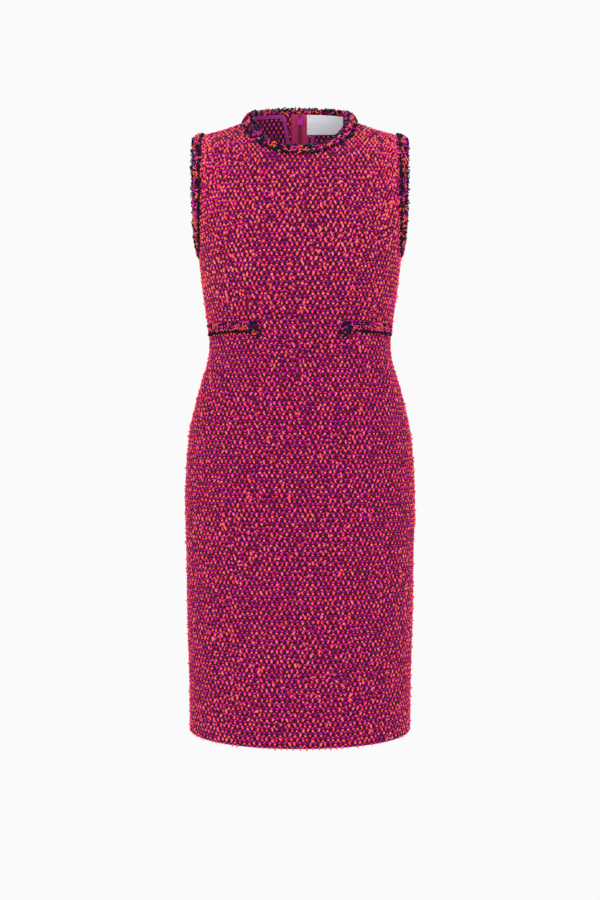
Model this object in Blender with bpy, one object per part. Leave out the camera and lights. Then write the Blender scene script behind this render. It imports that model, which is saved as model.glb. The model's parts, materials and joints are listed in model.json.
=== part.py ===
"""A sleeveless, knee-length sheath dress in boucle tweed, holding its worn shape with nobody in it.

Metres, +Z up, the front faces -Y. The origin is midway between the shoulders, at their height.
The cloth is a wall laid out on rings round the body, from the hem to the neck edge. Each panel is
a stretch of those rings between two seams. Braids, tapes and label are laid on the panels.
"""

import math
from collections import namedtuple

import bmesh
import bpy
import numpy as np
from mathutils import Vector
from mathutils.bvhtree import BVHTree

# ---- cloth and seams
WALL = 0.0026  # thickness of the tweed
SEAM_GAP = 0.0003  # between two panels, or between a piece and what it lies on
ZIP_GAP = 0.0020  # between the back panels along the zip
ROUNDNESS = 2.1  # superellipse exponent of every ring, 2 is an ellipse
SIDE_ROWS = 25  # rows of a panel's faces beside the side seam, the armhole and the shoulder seam
ARMHOLE_ROWS = 11
SHOULDER_ROWS = 6
ROW_CLOSEST = 0.002
FRONT_COLUMNS = 24
BACK_COLUMNS = 12  # on each half of the back
HEM_DIP_FRONT = 0.0090  # how much lower the hem is at the centre front than at the sides
HEM_DIP_BACK = 0.0040
HEM_DIP_RISE = 0.150  # the dip fades out over this height
BUST_OUT = 0.078  # each bust point from the centre front
BUST_HEIGHT = -0.240
BUST_FULLNESS = 0.006
BUST_WIDTH = 0.045
BUST_LENGTH = 0.055

# ---- braids, of looped yarn
BRAID_HALF_WIDTH = 0.0085
BRAID_THICKNESS = 0.0050
BRAID_STEP = 0.0050
BRAID_LUMP = 0.0007
BRAID_BEYOND = 0.0065  # how far a braid stands past the cloth's edge
BRAID_CLEARANCE = 0.0007
BRAID_END_LEAST = 0.35  # share of its width that is left where a braid's curled end closes
PATH_POINTS = 361  # fine points along an edge, from which a braid's evenly spaced ones are read
NECK_BRAID_END_GAP = 0.0012  # between its two ends, over the zip
WAIST_HEIGHT = -0.3150
WAIST_BRAID_INNER_END = 0.0560  # from the centre front
WAIST_BRAID_THICKNESS = 0.0034
WAIST_SIDE_THICKNESS = 0.0015  # where it starts at the side seam
WAIST_SIDE_LENGTH = 0.0450  # over which it thickens
WAIST_CURL = 0.0170  # length of the curled end
WAIST_CURL_WIDER = 0.0020
WAIST_CURL_THICKER = 0.0012

# ---- inside of the back
ZIP_END_HEIGHT = -0.4700
TAPE_INNER, TAPE_OUTER = 0.0012, 0.0135
TAPE_THICKNESS = 0.0008
BINDING_INNER, BINDING_OUTER = 0.0185, 0.0255
BINDING_THICKNESS = 0.0008
NECK_BINDING_WIDTH = 0.0065
NECK_BINDING_COLUMNS = 49
COIL_HALF_WIDTH = 0.0030
COIL_THICKNESS = 0.0016
LABEL_INNER, LABEL_OUTER = 0.0117, 0.0710
LABEL_HEIGHT = 0.0275  # from the neck edge down
LABEL_THICKNESS = 0.0007
WIDE_STRIP = 0.020  # a strip wider than this has several columns and follows the curve
WIDE_STRIP_COLUMNS = 7

# ---- zip slider and its pull tab, seen square to the centre back: x across, u up, v outwards
SLIDER_HEIGHT = 0.0290
SLIDER_HALF_WIDTH = 0.0046
SLIDER_HALF_LENGTH = 0.0050
SLIDER_THICKNESS = 0.0030
STEM_HALF_THICKNESS = 0.00065
STEM_HALF_LENGTH = 0.0012
LUG_DROP = 0.0037  # the lug's centre below the slider's
LUG_OUT = 0.0026
LUG_RADIUS = 0.0024
LUG_HOLE_RADIUS = 0.0013
PULL_HALF_WIDTH = 0.0030
PULL_LENGTH = 0.0220
PULL_THICKNESS = 0.0010
PULL_BAR_HALF_HEIGHT = 0.0007
PULL_SLOT_HALF_WIDTH = 0.0013
PULL_SLOT_LENGTH = 0.0040
CUT_BEYOND = 0.0015  # how far a cutter runs past what it cuts
PULL_LEAN = math.radians(3.0)  # towards the cloth, where its tip comes to rest

# ---- rings that lie level, from the hem to the chest: half the width, and depth to front and back
Level = namedtuple("Level", "height half_width front back")
BODY = (
    Level(-0.9330, 0.1716, 0.1220, 0.1120),  # hem
    Level(-0.8600, 0.1724, 0.1225, 0.1140),
    Level(-0.7600, 0.1755, 0.1235, 0.1170),
    Level(-0.6600, 0.1770, 0.1240, 0.1210),
    Level(-0.5750, 0.1790, 0.1240, 0.1240),  # hips
    Level(-0.5240, 0.1770, 0.1230, 0.1225),
    Level(-0.4740, 0.1724, 0.1195, 0.1165),
    Level(-0.4240, 0.1615, 0.1135, 0.1065),
    Level(-0.3870, 0.1513, 0.1085, 0.1000),
    Level(-0.3620, 0.1438, 0.1060, 0.0965),
    Level(-0.3310, 0.1412, 0.1045, 0.0950),  # waist
    Level(-0.3000, 0.1451, 0.1080, 0.0960),
    Level(-0.2620, 0.1505, 0.1165, 0.0990),
    Level(-0.2370, 0.1537, 0.1205, 0.1015),  # bust
    Level(-0.2120, 0.1565, 0.1215, 0.1035),
    Level(-0.1910, 0.1585, 0.1205, 0.1045),  # underarm
    Level(-0.1700, 0.1680, 0.1175, 0.1055),
    Level(-0.1400, 0.1840, 0.1105, 0.1065),
    Level(-0.1050, 0.1970, 0.1000, 0.1065),
)
# ---- rings above them, which tilt: the ridge along the shoulder, then the front and back middle.
# bow is 1 where the ring is flat and more where it stays level over the shoulder before it drops.
Tilted = namedtuple("Tilted", "ridge_height half_width front front_height back back_height bow")
YOKE = (
    Tilted(-0.0500, 0.1900, 0.0955, -0.0880, 0.1035, -0.0640, 2.0),
    Tilted(-0.0220, 0.1720, 0.0915, -0.0775, 0.0985, -0.0390, 2.0),
    Tilted(-0.0145, 0.1600, 0.0895, -0.0728, 0.0960, -0.0280, 2.0),  # shoulder tip
    Tilted(-0.0105, 0.1500, 0.0880, -0.0695, 0.0940, -0.0205, 1.9),
    Tilted(-0.0030, 0.1250, 0.0835, -0.0610, 0.0860, 0.0000, 1.6),
    Tilted(0.0065, 0.1000, 0.0775, -0.0522, 0.0730, 0.0200, 1.25),
    Tilted(0.0115, 0.0880, 0.0747, -0.0480, 0.0655, 0.0300, 1.1),
    Tilted(0.0190, 0.0795, 0.0725, -0.0446, 0.0600, 0.0380, 1.0),  # neck edge
)
UNDERARM_RING = 15
TIP_RING = len(BODY) + 2

QUARTER = math.pi / 2
STRAIGHT = math.pi


def hem_dip(height, deepest):
    """How far the middle of a level ring hangs below its sides."""
    rise = (height - BODY[0].height) / HEM_DIP_RISE
    return deepest * max(0.0, 1.0 - rise) ** 2


def ring_table():
    """Every ring as one row: side height, half width, front, its height, back, its height, bow."""
    rows = []
    for ring in BODY:
        front_height = ring.height - hem_dip(ring.height, HEM_DIP_FRONT)
        back_height = ring.height - hem_dip(ring.height, HEM_DIP_BACK)
        rows.append((ring.height, ring.half_width, ring.front, front_height, ring.back, back_height, 1.0))
    rows.extend(tuple(ring) for ring in YOKE)
    return np.array(rows)


TABLE = ring_table()
STEPS = np.linalg.norm(np.diff(TABLE[:, :2], axis=0), axis=1)
KNOTS = np.concatenate([[0.0], np.cumsum(STEPS)])  # length along the side, hem to neck
SLOPES = np.gradient(TABLE, KNOTS, axis=0)
UNDERARM = KNOTS[UNDERARM_RING]
TIP = KNOTS[TIP_RING]
NECK = KNOTS[-1]


def ring_at(along):
    """The table's columns at a length along the side, on a smooth curve through the rings."""
    along = np.asarray(along, float)
    index = np.clip(np.searchsorted(KNOTS, along, side="right") - 1, 0, len(KNOTS) - 2)
    gap = (KNOTS[index + 1] - KNOTS[index])[..., None]
    share = (along - KNOTS[index])[..., None] / gap
    rest = 1.0 - share
    start, end = TABLE[index], TABLE[index + 1]
    leaving, arriving = SLOPES[index] * gap, SLOPES[index + 1] * gap
    bend = rest**2 * (1 + 2 * share) * start + share**2 * (1 + 2 * rest) * end
    return bend + rest**2 * share * leaving - share**2 * rest * arriving


def surface(angle, along):
    """Points on the outside of the cloth. Angle 0 is the centre front and a quarter turn the +X side."""
    angle, along = np.broadcast_arrays(np.asarray(angle, float), np.asarray(along, float))
    height, half_width, front, front_height, back, back_height, bow = np.moveaxis(ring_at(along), -1, 0)
    across, ahead = np.sin(angle), np.cos(angle)
    reach = np.sign(across) * np.abs(across) ** (2 / ROUNDNESS)
    depth = np.abs(ahead) ** (2 / ROUNDNESS)
    facing = ahead >= 0
    middle = np.where(facing, front_height, back_height)
    x = half_width * reach
    y = np.where(facing, -front, back) * depth
    z = height + (middle - height) * depth**bow
    bust = ((np.abs(x) - BUST_OUT) / BUST_WIDTH) ** 2 + ((z - BUST_HEIGHT) / BUST_LENGTH) ** 2
    y = y - np.where(facing, BUST_FULLNESS * depth * np.exp(-bust), 0.0)
    return np.stack([x, y, z], axis=-1)


def unit(vectors):
    return vectors / np.linalg.norm(vectors, axis=-1, keepdims=True)


def upwards(angle, along):
    """Unit direction up the cloth."""
    step = 0.001
    return unit(surface(angle, along) - surface(angle, along - step))


def outwards(angle, along):
    """Unit direction square to the cloth, away from the body."""
    turn = math.radians(0.5)
    sideways = surface(angle + turn, along) - surface(angle - turn, along)
    return unit(np.cross(sideways, upwards(angle, along)))


def along_at(height):
    """Length along the side of the ring whose side is at this height."""
    return float(np.interp(height, TABLE[:, 0], KNOTS))


def along_at_back(height):
    """Length along the side of the ring whose centre back is at this height."""
    fine = np.linspace(0, NECK, 2000)
    return float(np.interp(height, ring_at(fine)[:, 5], fine))


def angle_at(out, along):
    """Angle, from the centre, at which a ring is this far out to the side."""
    half_width = ring_at(along)[..., 1]
    return np.arcsin(np.clip(out / half_width, 0, 1) ** (ROUNDNESS / 2))


def edge_angle(along):
    """Angle of a panel's side edge: a seam at a quarter turn, or the armhole, which cuts in."""
    share = np.clip((along - UNDERARM) / (TIP - UNDERARM), 0, 1)
    cut = TABLE[UNDERARM_RING, 1] * (1 - share) + TABLE[TIP_RING, 1] * share
    in_armhole = (along > UNDERARM) & (along < TIP)
    return np.where(in_armhole, angle_at(cut, along), QUARTER)


def panel_rows():
    """Lengths along the side of a panel's rows, closer together at the foot and head of the armhole."""
    side_seam = np.linspace(0, UNDERARM, SIDE_ROWS + 1)
    round_armhole = (1 - np.cos(np.linspace(0, math.pi, ARMHOLE_ROWS + 1))) / 2
    shoulder = np.linspace(TIP, NECK, SHOULDER_ROWS + 1)
    return np.concatenate([side_seam, UNDERARM + (TIP - UNDERARM) * round_armhole[1:], shoulder[1:]])


# ---- meshes


def material(name, colour, roughness, metallic=0.0):
    made = bpy.data.materials.new(name)
    made.use_nodes = True
    shader = made.node_tree.nodes["Principled BSDF"]
    shader.inputs["Base Color"].default_value = (*colour, 1.0)
    shader.inputs["Roughness"].default_value = roughness
    shader.inputs["Metallic"].default_value = metallic
    return made


def add_mesh(name, points, faces, finish):
    """One closed mesh as an object, its faces turned outwards and shaded smooth."""
    mesh = bpy.data.meshes.new(name)
    mesh.from_pydata([tuple(point) for point in points], [], faces)
    work = bmesh.new()
    work.from_mesh(mesh)
    bmesh.ops.recalc_face_normals(work, faces=work.faces)
    work.to_mesh(mesh)
    work.free()
    mesh.shade_smooth()
    mesh.set_sharp_from_angle(angle=math.radians(50))
    mesh.materials.append(finish)
    made = bpy.data.objects.new(name, mesh)
    bpy.context.scene.collection.objects.link(made)
    return made


def wall(name, outer, inner, finish):
    """A closed wall between two grids of points, rows by columns."""
    rows, columns = outer.shape[:2]
    points = np.concatenate([outer.reshape(-1, 3), inner.reshape(-1, 3)])

    def at(side, row, column):
        return side * rows * columns + row * columns + column

    faces = []
    for row in range(rows - 1):
        for column in range(columns - 1):
            corners = ((row, column), (row, column + 1), (row + 1, column + 1), (row + 1, column))
            faces.append([at(0, *corner) for corner in corners])
            faces.append([at(1, *corner) for corner in reversed(corners)])
    rim = [(0, column) for column in range(columns)]
    rim += [(row, columns - 1) for row in range(1, rows)]
    rim += [(rows - 1, column) for column in range(columns - 2, -1, -1)]
    rim += [(row, 0) for row in range(rows - 2, 0, -1)]
    for here, there in zip(rim, rim[1:] + rim[:1]):
        faces.append([at(0, *here), at(1, *here), at(1, *there), at(0, *there)])
    return add_mesh(name, points, faces, finish)


def panel(shares, offset):
    """Outer and inner points of a cloth panel, rows by columns, moved back by the offset.

    Each share runs from 0 at the centre to 1 or -1 at a side edge. A panel moved back is a back one.
    """
    rows = panel_rows()[:, None]
    share = np.asarray(shares)[None, :]
    edge = edge_angle(rows)
    angle = share * edge
    if offset > 0:
        angle = np.where(share < 0, -STRAIGHT, STRAIGHT) - angle
    outer = surface(angle, rows)
    out = outwards(angle, rows)
    on_seam = (np.abs(share) == 1) & (edge == QUARTER)
    out[..., 1] = np.where(on_seam, 0.0, out[..., 1])
    out[..., 0] = np.where(share == 0, 0.0, out[..., 0])
    outer[..., 1] += offset
    return outer, outer - WALL * unit(out)


def make_front(finish):
    outer, inner = panel(np.linspace(-1, 1, FRONT_COLUMNS + 1), -SEAM_GAP / 2)
    return wall("front_panel", outer, inner, finish)


def make_back(side, finish):
    """One half of the back. It leaves a gap for the zip at the centre, and a seam's gap below it."""
    share = np.linspace(0, 1, BACK_COLUMNS + 1)
    outer, inner = panel(side * share, SEAM_GAP / 2)
    height = outer[:, :1, 2]
    gap = np.where(height > ZIP_END_HEIGHT, ZIP_GAP, SEAM_GAP)
    parted = side * gap / 2 * (1 - share)
    outer[..., 0] += parted
    inner[..., 0] += parted
    return wall(side_name("back_panel", side), outer, inner, finish)


def side_name(stem, side):
    return stem + ("_left" if side < 0 else "_right")


# ---- braids


def evenly(points, step, closed):
    """Places along a run of points, the same distance apart, as (index, share to the next)."""
    run = np.concatenate([points, points[:1]]) if closed else points
    lengths = np.concatenate([[0.0], np.cumsum(np.linalg.norm(np.diff(run, axis=0), axis=1))])
    count = round(lengths[-1] / step)
    wanted = np.linspace(0, lengths[-1], count + 1)
    if closed:
        wanted = wanted[:-1]
    index = np.clip(np.searchsorted(lengths, wanted, side="right") - 1, 0, len(run) - 2)
    return index, ((wanted - lengths[index]) / (lengths[index + 1] - lengths[index]))[:, None]


def pick(values, index, share):
    following = values[(index + 1) % len(values)]
    return values[index] * (1 - share) + following * share


def lump(seed, row, corner):
    """Uneven loops of yarn: a number from -1 to 1 that looks random and never changes."""
    return math.sin(seed + 12.9898 * row + 78.233 * corner) * math.cos(4.1 * row + 1.7 * corner + seed)


def lift(point, cloth):
    """Moves a point out until it is clear of the cloth under it."""
    nearest, out, _, _ = cloth.find_nearest(Vector(point))
    height = (Vector(point) - nearest).dot(out)
    return point if height >= BRAID_CLEARANCE else np.array(nearest + out * BRAID_CLEARANCE)


# Corners of a braid's section, as shares of its half width and thickness.
SECTION = ((-0.75, 0.0), (0.0, 0.0), (0.75, 0.0), (1.0, 0.5), (0.5, 1.0), (-0.5, 1.0), (-1.0, 0.5))


def braid(name, path, up, out, closed, cloth, finish, seed=0.0, curl=False, shift=0.0):
    """A flat, lumpy braid along a path on the cloth. shift moves it across, past the edge."""
    rings = []
    length = len(path)
    for row, (point, above, away) in enumerate(zip(path, up, out)):
        wide, thick = BRAID_HALF_WIDTH, BRAID_THICKNESS
        if curl:
            from_side = min(1.0, row * BRAID_STEP / WAIST_SIDE_LENGTH)
            thick = WAIST_SIDE_THICKNESS + (WAIST_BRAID_THICKNESS - WAIST_SIDE_THICKNESS) * from_side
            to_end = (length - 1 - row) * BRAID_STEP
            curled = max(0.0, 1 - to_end / WAIST_CURL)
            swollen = min(1.0, 2 * curled)
            rounded = math.sqrt(1 - max(0.0, 1 - to_end / wide) ** 2)
            wide = (wide + WAIST_CURL_WIDER * swollen) * max(BRAID_END_LEAST, rounded)
            thick = thick + WAIST_CURL_THICKER * swollen
        ring = []
        for corner, (across, high) in enumerate(SECTION):
            rough = BRAID_LUMP * lump(seed, row, corner) * (1 if high else 0)
            sideways = across * (wide + rough) + shift
            outward = BRAID_CLEARANCE + high * (thick + rough)
            corner_point = point + above * sideways + away * outward
            past_edge = shift and sideways > 0
            ring.append(corner_point if past_edge else lift(corner_point, cloth))
        rings.append(ring)
    count = len(SECTION)
    faces = []
    for row in range(length if closed else length - 1):
        after = (row + 1) % length
        for corner in range(count):
            beside = (corner + 1) % count
            here, there = row * count, after * count
            faces.append([here + corner, here + beside, there + beside, there + corner])
    if not closed:
        faces.append(list(range(count)))
        faces.append([(length - 1) * count + corner for corner in range(count)])
    return add_mesh(name, [point for ring in rings for point in ring], faces, finish)


def make_neck_braid(cloth, finish):
    """Round the neck edge, from one side of the zip to the other."""
    opening = float(angle_at(NECK_BRAID_END_GAP / 2, NECK))
    angle = np.linspace(-STRAIGHT + opening, STRAIGHT - opening, 2 * PATH_POINTS)
    edge = surface(angle, NECK)
    index, share = evenly(edge, BRAID_STEP, closed=False)
    up, out = upwards(angle, NECK), outwards(angle, NECK)
    path, up, out = (pick(values, index, share) for values in (edge, up, out))
    up[0], up[-1] = (0, *up[0][1:]), (0, *up[-1][1:])
    out[0], out[-1] = (0, *out[0][1:]), (0, *out[-1][1:])
    shift = BRAID_BEYOND - BRAID_HALF_WIDTH
    return braid("neck_braid", path, up, unit(out), False, cloth, finish, seed=1.0, shift=shift)


def make_armhole_braid(side, cloth, finish):
    """Round the armhole: up the front panel's edge, over the shoulder tip and down the back's."""
    share = (1 - np.cos(np.linspace(0, STRAIGHT, PATH_POINTS))) / 2
    along = UNDERARM + (TIP - UNDERARM) * share
    front_angle = edge_angle(along)
    back_angle = STRAIGHT - front_angle[::-1]
    angle = np.concatenate([front_angle, back_angle[1:-1]])
    along = np.concatenate([along, along[::-1][1:-1]])
    edge, out = surface(angle, along), outwards(angle, along)
    index, share = evenly(edge, BRAID_STEP, closed=True)
    edge, out = pick(edge, index, share), unit(pick(out, index, share))
    run = unit(np.roll(edge, -1, axis=0) - np.roll(edge, 1, axis=0))
    into = unit(np.cross(run, out))
    to_middle = edge.mean(axis=0) - edge
    into *= np.sign((into * to_middle).sum(axis=1))[:, None]
    mirror = np.array([side, 1, 1])
    shift = BRAID_BEYOND - BRAID_HALF_WIDTH
    name = side_name("armhole_braid", side)
    parts = (edge * mirror, into * mirror, out * mirror)
    return braid(name, *parts, True, cloth, finish, seed=3.0 + side, shift=shift)


def make_waist_braid(side, cloth, finish):
    """Across one side of the front at the waist, from the side seam to a curled end."""
    along = along_at(WAIST_HEIGHT)
    end = float(angle_at(WAIST_BRAID_INNER_END, along))
    just_short = math.radians(0.3)
    angle = np.linspace(QUARTER - just_short, end, PATH_POINTS)
    edge = surface(angle, along)
    index, share = evenly(edge, BRAID_STEP, closed=False)
    values = (edge, upwards(angle, along), outwards(angle, along))
    mirror = np.array([side, 1, 1])
    path, up, out = (pick(each, index, share) * mirror for each in values)
    path[:, 1] -= SEAM_GAP / 2
    out[0] = (side, 0, 0)
    name = side_name("waist_braid", side)
    return braid(name, path, up, out, False, cloth, finish, seed=7.0 + side, curl=True)


# ---- inside of the back: bindings, zip and label, each a thin strip under the cloth


def under(angle, along, depth):
    """Points this deep under the outside of the cloth, on straight lines between a panel's rows."""
    rows = panel_rows()
    index = np.clip(np.searchsorted(rows, along, side="right") - 1, 0, len(rows) - 2)
    share = ((along - rows[index]) / (rows[index + 1] - rows[index]))[..., None]
    beside = (rows[index], rows[index + 1])
    below, above = (surface(angle, row) - depth * outwards(angle, row) for row in beside)
    return below * (1 - share) + above * share


def back_strip(name, side, reach, rows, depth, thickness, finish):
    """A strip on the inside of one half of the back, between two distances from its centre."""
    along = rows[:, None]
    columns = WIDE_STRIP_COLUMNS if reach[1] - reach[0] > WIDE_STRIP else 2
    out = np.linspace(*reach, columns)[None, :]
    angle = side * (STRAIGHT - angle_at(out, along))
    places = [under(angle, along, depth + extra) for extra in (0, thickness)]
    for points in places:
        points[..., 1] += SEAM_GAP / 2
    return wall(name, *places, finish)


def rows_between(low, high):
    """Two lengths along the side, with the panels' rows between them."""
    inner = [row for row in panel_rows() if low + ROW_CLOSEST < row < high - ROW_CLOSEST]
    return np.array([low, *inner, high])


TAPE_DEPTH = WALL + SEAM_GAP
COIL_DEPTH = TAPE_DEPTH + TAPE_THICKNESS + SEAM_GAP
NECK_BINDING_DEPTH = TAPE_DEPTH + SEAM_GAP
LABEL_DEPTH = NECK_BINDING_DEPTH + BINDING_THICKNESS + SEAM_GAP
ZIP_END = along_at_back(ZIP_END_HEIGHT)


def make_zip_tape(side, finish):
    rows = rows_between(ZIP_END, NECK)
    reach = (TAPE_INNER, TAPE_OUTER)
    return back_strip(side_name("zip_tape", side), side, reach, rows, TAPE_DEPTH, TAPE_THICKNESS, finish)


def make_seam_binding(side, finish):
    rows = rows_between(ZIP_END, NECK)
    reach = (BINDING_INNER, BINDING_OUTER)
    return back_strip(
        side_name("seam_binding", side), side, reach, rows, TAPE_DEPTH, BINDING_THICKNESS, finish
    )


def make_neck_binding(finish):
    """Along the inside of the neck edge, from one seam binding round the front to the other."""
    drop = NECK_BINDING_WIDTH
    along = np.array([NECK - drop, NECK])[:, None]
    end = STRAIGHT - angle_at(BINDING_OUTER + 2 * SEAM_GAP, along)
    angle = end * np.linspace(-1, 1, NECK_BINDING_COLUMNS)[None, :]
    outer = under(angle, along, NECK_BINDING_DEPTH)
    inner = under(angle, along, NECK_BINDING_DEPTH + BINDING_THICKNESS)
    return wall("neck_binding", outer, inner, finish)


def make_label(finish):
    """A woven label under the neck edge, beside the zip."""
    rows = rows_between(along_at_back(float(surface(STRAIGHT, NECK)[2]) - LABEL_HEIGHT), NECK)
    return back_strip("label", 1, (LABEL_INNER, LABEL_OUTER), rows, LABEL_DEPTH, LABEL_THICKNESS, finish)


def make_zip_coil(finish):
    """The closed rows of zip teeth, as one plain band on the tapes, up to the slider."""
    top = along_at_back(SLIDER_HEIGHT - SLIDER_HALF_LENGTH - SEAM_GAP)
    along = rows_between(ZIP_END, top)[:, None]
    out = np.array([-COIL_HALF_WIDTH, COIL_HALF_WIDTH])[None, :]
    angle = STRAIGHT - np.sign(out) * angle_at(np.abs(out), along)
    outer = under(angle, along, COIL_DEPTH)
    inner = under(angle, along, COIL_DEPTH + COIL_THICKNESS)
    for points in (outer, inner):
        points[..., 1] += SEAM_GAP / 2
    return wall("zip_coil", outer, inner, finish)


def slider_frame():
    """Origin, up and outward directions on the outside of the cloth, where the slider is."""
    along = along_at_back(SLIDER_HEIGHT)
    return surface(STRAIGHT, along), upwards(STRAIGHT, along), outwards(STRAIGHT, along)


def placed(points, turn=0.0, hinge=(0.0, 0.0)):
    """World points from (x, u, v) ones at the slider, turned about the pull's bar first."""
    origin, up, out = slider_frame()
    cosine, sine = math.cos(turn), math.sin(turn)
    made = []
    for x, u, v in points:
        u, v = u - hinge[0], v - hinge[1]
        u, v = hinge[0] + u * cosine - v * sine, hinge[1] + u * sine + v * cosine
        made.append(origin + np.array([x, 0, 0]) + u * up + v * out)
    return made


def block(low, high):
    """Corners and faces of a box in (x, u, v)."""
    corners = [(x, u, v) for x in (low[0], high[0]) for u in (low[1], high[1]) for v in (low[2], high[2])]
    faces = [[0, 1, 3, 2], [4, 6, 7, 5], [0, 4, 5, 1], [2, 3, 7, 6], [0, 2, 6, 4], [1, 5, 7, 3]]
    return corners, faces


def disc(radius, half_thickness, centre, sides=20):
    """Corners and faces of a round plate square to x, in (x, u, v)."""
    turns = [2 * STRAIGHT * index / sides for index in range(sides)]
    corners = [
        (x, centre[0] + radius * math.cos(turn), centre[1] + radius * math.sin(turn))
        for x in (-half_thickness, half_thickness)
        for turn in turns
    ]
    faces = [list(range(sides)), list(range(sides, 2 * sides))]
    for index in range(sides):
        beside = (index + 1) % sides
        faces.append([index, beside, sides + beside, sides + index])
    return corners, faces


def combine(target, other, operation):
    """Joins or cuts with a helper object, which stays out of the render."""
    modifier = target.modifiers.new(other.name, "BOOLEAN")
    modifier.operation = operation
    modifier.solver = "EXACT"
    modifier.object = other
    other.hide_render = True
    other.display_type = "WIRE"


def make_slider(finish):
    """Slider inside the back, with a stem through the gap and a holed lug outside for the pull."""
    deep = -(COIL_DEPTH + SLIDER_THICKNESS)
    low = (-SLIDER_HALF_WIDTH, -SLIDER_HALF_LENGTH, deep)
    body = block(low, (SLIDER_HALF_WIDTH, SLIDER_HALF_LENGTH, -COIL_DEPTH))
    stem_low, stem_high = -LUG_DROP - STEM_HALF_LENGTH, -LUG_DROP + STEM_HALF_LENGTH
    stem = block(
        (-STEM_HALF_THICKNESS, stem_low, deep + SLIDER_THICKNESS / 2),
        (STEM_HALF_THICKNESS, stem_high, LUG_OUT - LUG_HOLE_RADIUS - SEAM_GAP),
    )
    centre = (-LUG_DROP, LUG_OUT)
    slider = add_mesh("zip_slider", placed(body[0]), body[1], finish)
    for name, shape, operation in (
        ("slider_stem", stem, "UNION"),
        ("slider_lug", disc(LUG_RADIUS, STEM_HALF_THICKNESS, centre), "UNION"),
        ("slider_lug_hole", disc(LUG_HOLE_RADIUS, 3 * STEM_HALF_THICKNESS, centre), "DIFFERENCE"),
    ):
        combine(slider, add_mesh(name, placed(shape[0]), shape[1], finish), operation)
    return slider


def make_pull(finish):
    """Pull tab with a slot near its top. The bar above the slot lies in the lug's hole."""
    hinge = (-LUG_DROP, LUG_OUT)
    origin, up, out = slider_frame()
    axis = origin + hinge[0] * up + hinge[1] * out
    inner, outer = hinge[1] - PULL_THICKNESS / 2, hinge[1] + PULL_THICKNESS / 2
    top = hinge[0] + PULL_BAR_HALF_HEIGHT
    tab = block((-PULL_HALF_WIDTH, hinge[0] - PULL_LENGTH, inner), (PULL_HALF_WIDTH, top, outer))
    slot_top = hinge[0] - PULL_BAR_HALF_HEIGHT
    slot_low = (-PULL_SLOT_HALF_WIDTH, slot_top - PULL_SLOT_LENGTH, inner - CUT_BEYOND)
    slot = block(slot_low, (PULL_SLOT_HALF_WIDTH, slot_top, outer + CUT_BEYOND))
    pivot = bpy.data.objects.new("pull_pivot", None)
    pivot.location = axis
    bpy.context.scene.collection.objects.link(pivot)
    pull = add_mesh("zip_pull", [p - axis for p in placed(tab[0], PULL_LEAN, hinge)], tab[1], finish)
    cutter = add_mesh("pull_slot", [p - axis for p in placed(slot[0], PULL_LEAN, hinge)], slot[1], finish)
    for piece in (pull, cutter):
        piece.parent = pivot
    combine(pull, cutter, "DIFFERENCE")
    return pull


def cloth_tree(panels):
    """The faces on the outside of the panels in one search tree, for laying braids on them."""
    points, faces = [], []
    for each in panels:
        start, outside = len(points), len(each.data.vertices) // 2
        points.extend(vertex.co for vertex in each.data.vertices)
        each.data.calc_loop_triangles()
        for face in each.data.loop_triangles:
            if max(face.vertices) < outside:
                faces.append([start + index for index in face.vertices])
    return BVHTree.FromPolygons(points, faces)


def main():
    for each in list(bpy.data.objects):
        bpy.data.objects.remove(each)
    tweed = material("tweed", (0.42, 0.035, 0.10), 0.9)
    looped = material("looped_braid", (0.10, 0.02, 0.06), 0.9)
    tape = material("zip_tape", (0.55, 0.02, 0.16), 0.8)
    teeth = material("zip_teeth", (0.35, 0.01, 0.10), 0.5)
    binding = material("satin_binding", (0.25, 0.01, 0.25), 0.5)
    enamel = material("slider_enamel", (0.28, 0.01, 0.22), 0.35)
    woven = material("woven_label", (0.70, 0.70, 0.72), 0.7)

    panels = [make_front(tweed), make_back(-1, tweed), make_back(1, tweed)]
    cloth = cloth_tree(panels)
    make_neck_braid(cloth, looped)
    make_neck_binding(binding)
    for side in (-1, 1):
        make_armhole_braid(side, cloth, looped)
        make_waist_braid(side, cloth, looped)
        make_zip_tape(side, tape)
        make_seam_binding(side, binding)
    make_zip_coil(teeth)
    make_slider(enamel)
    make_pull(enamel)
    make_label(woven)


main()
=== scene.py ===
"""Looks of a sleeveless sheath dress in looped tweed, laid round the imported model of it.

Metres, +Z up, the front faces -Y. The cloth is a thin shell on rings round the body, woven to a chart:
coral slubs stand on every other crossing of columns and rows, and magenta weft shows between the rows.
Braids are cores covered with loops of yarn. The zip's tapes, slider and pull, the neck's binding and
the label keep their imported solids.
"""

import json
import math
from collections import namedtuple

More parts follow.
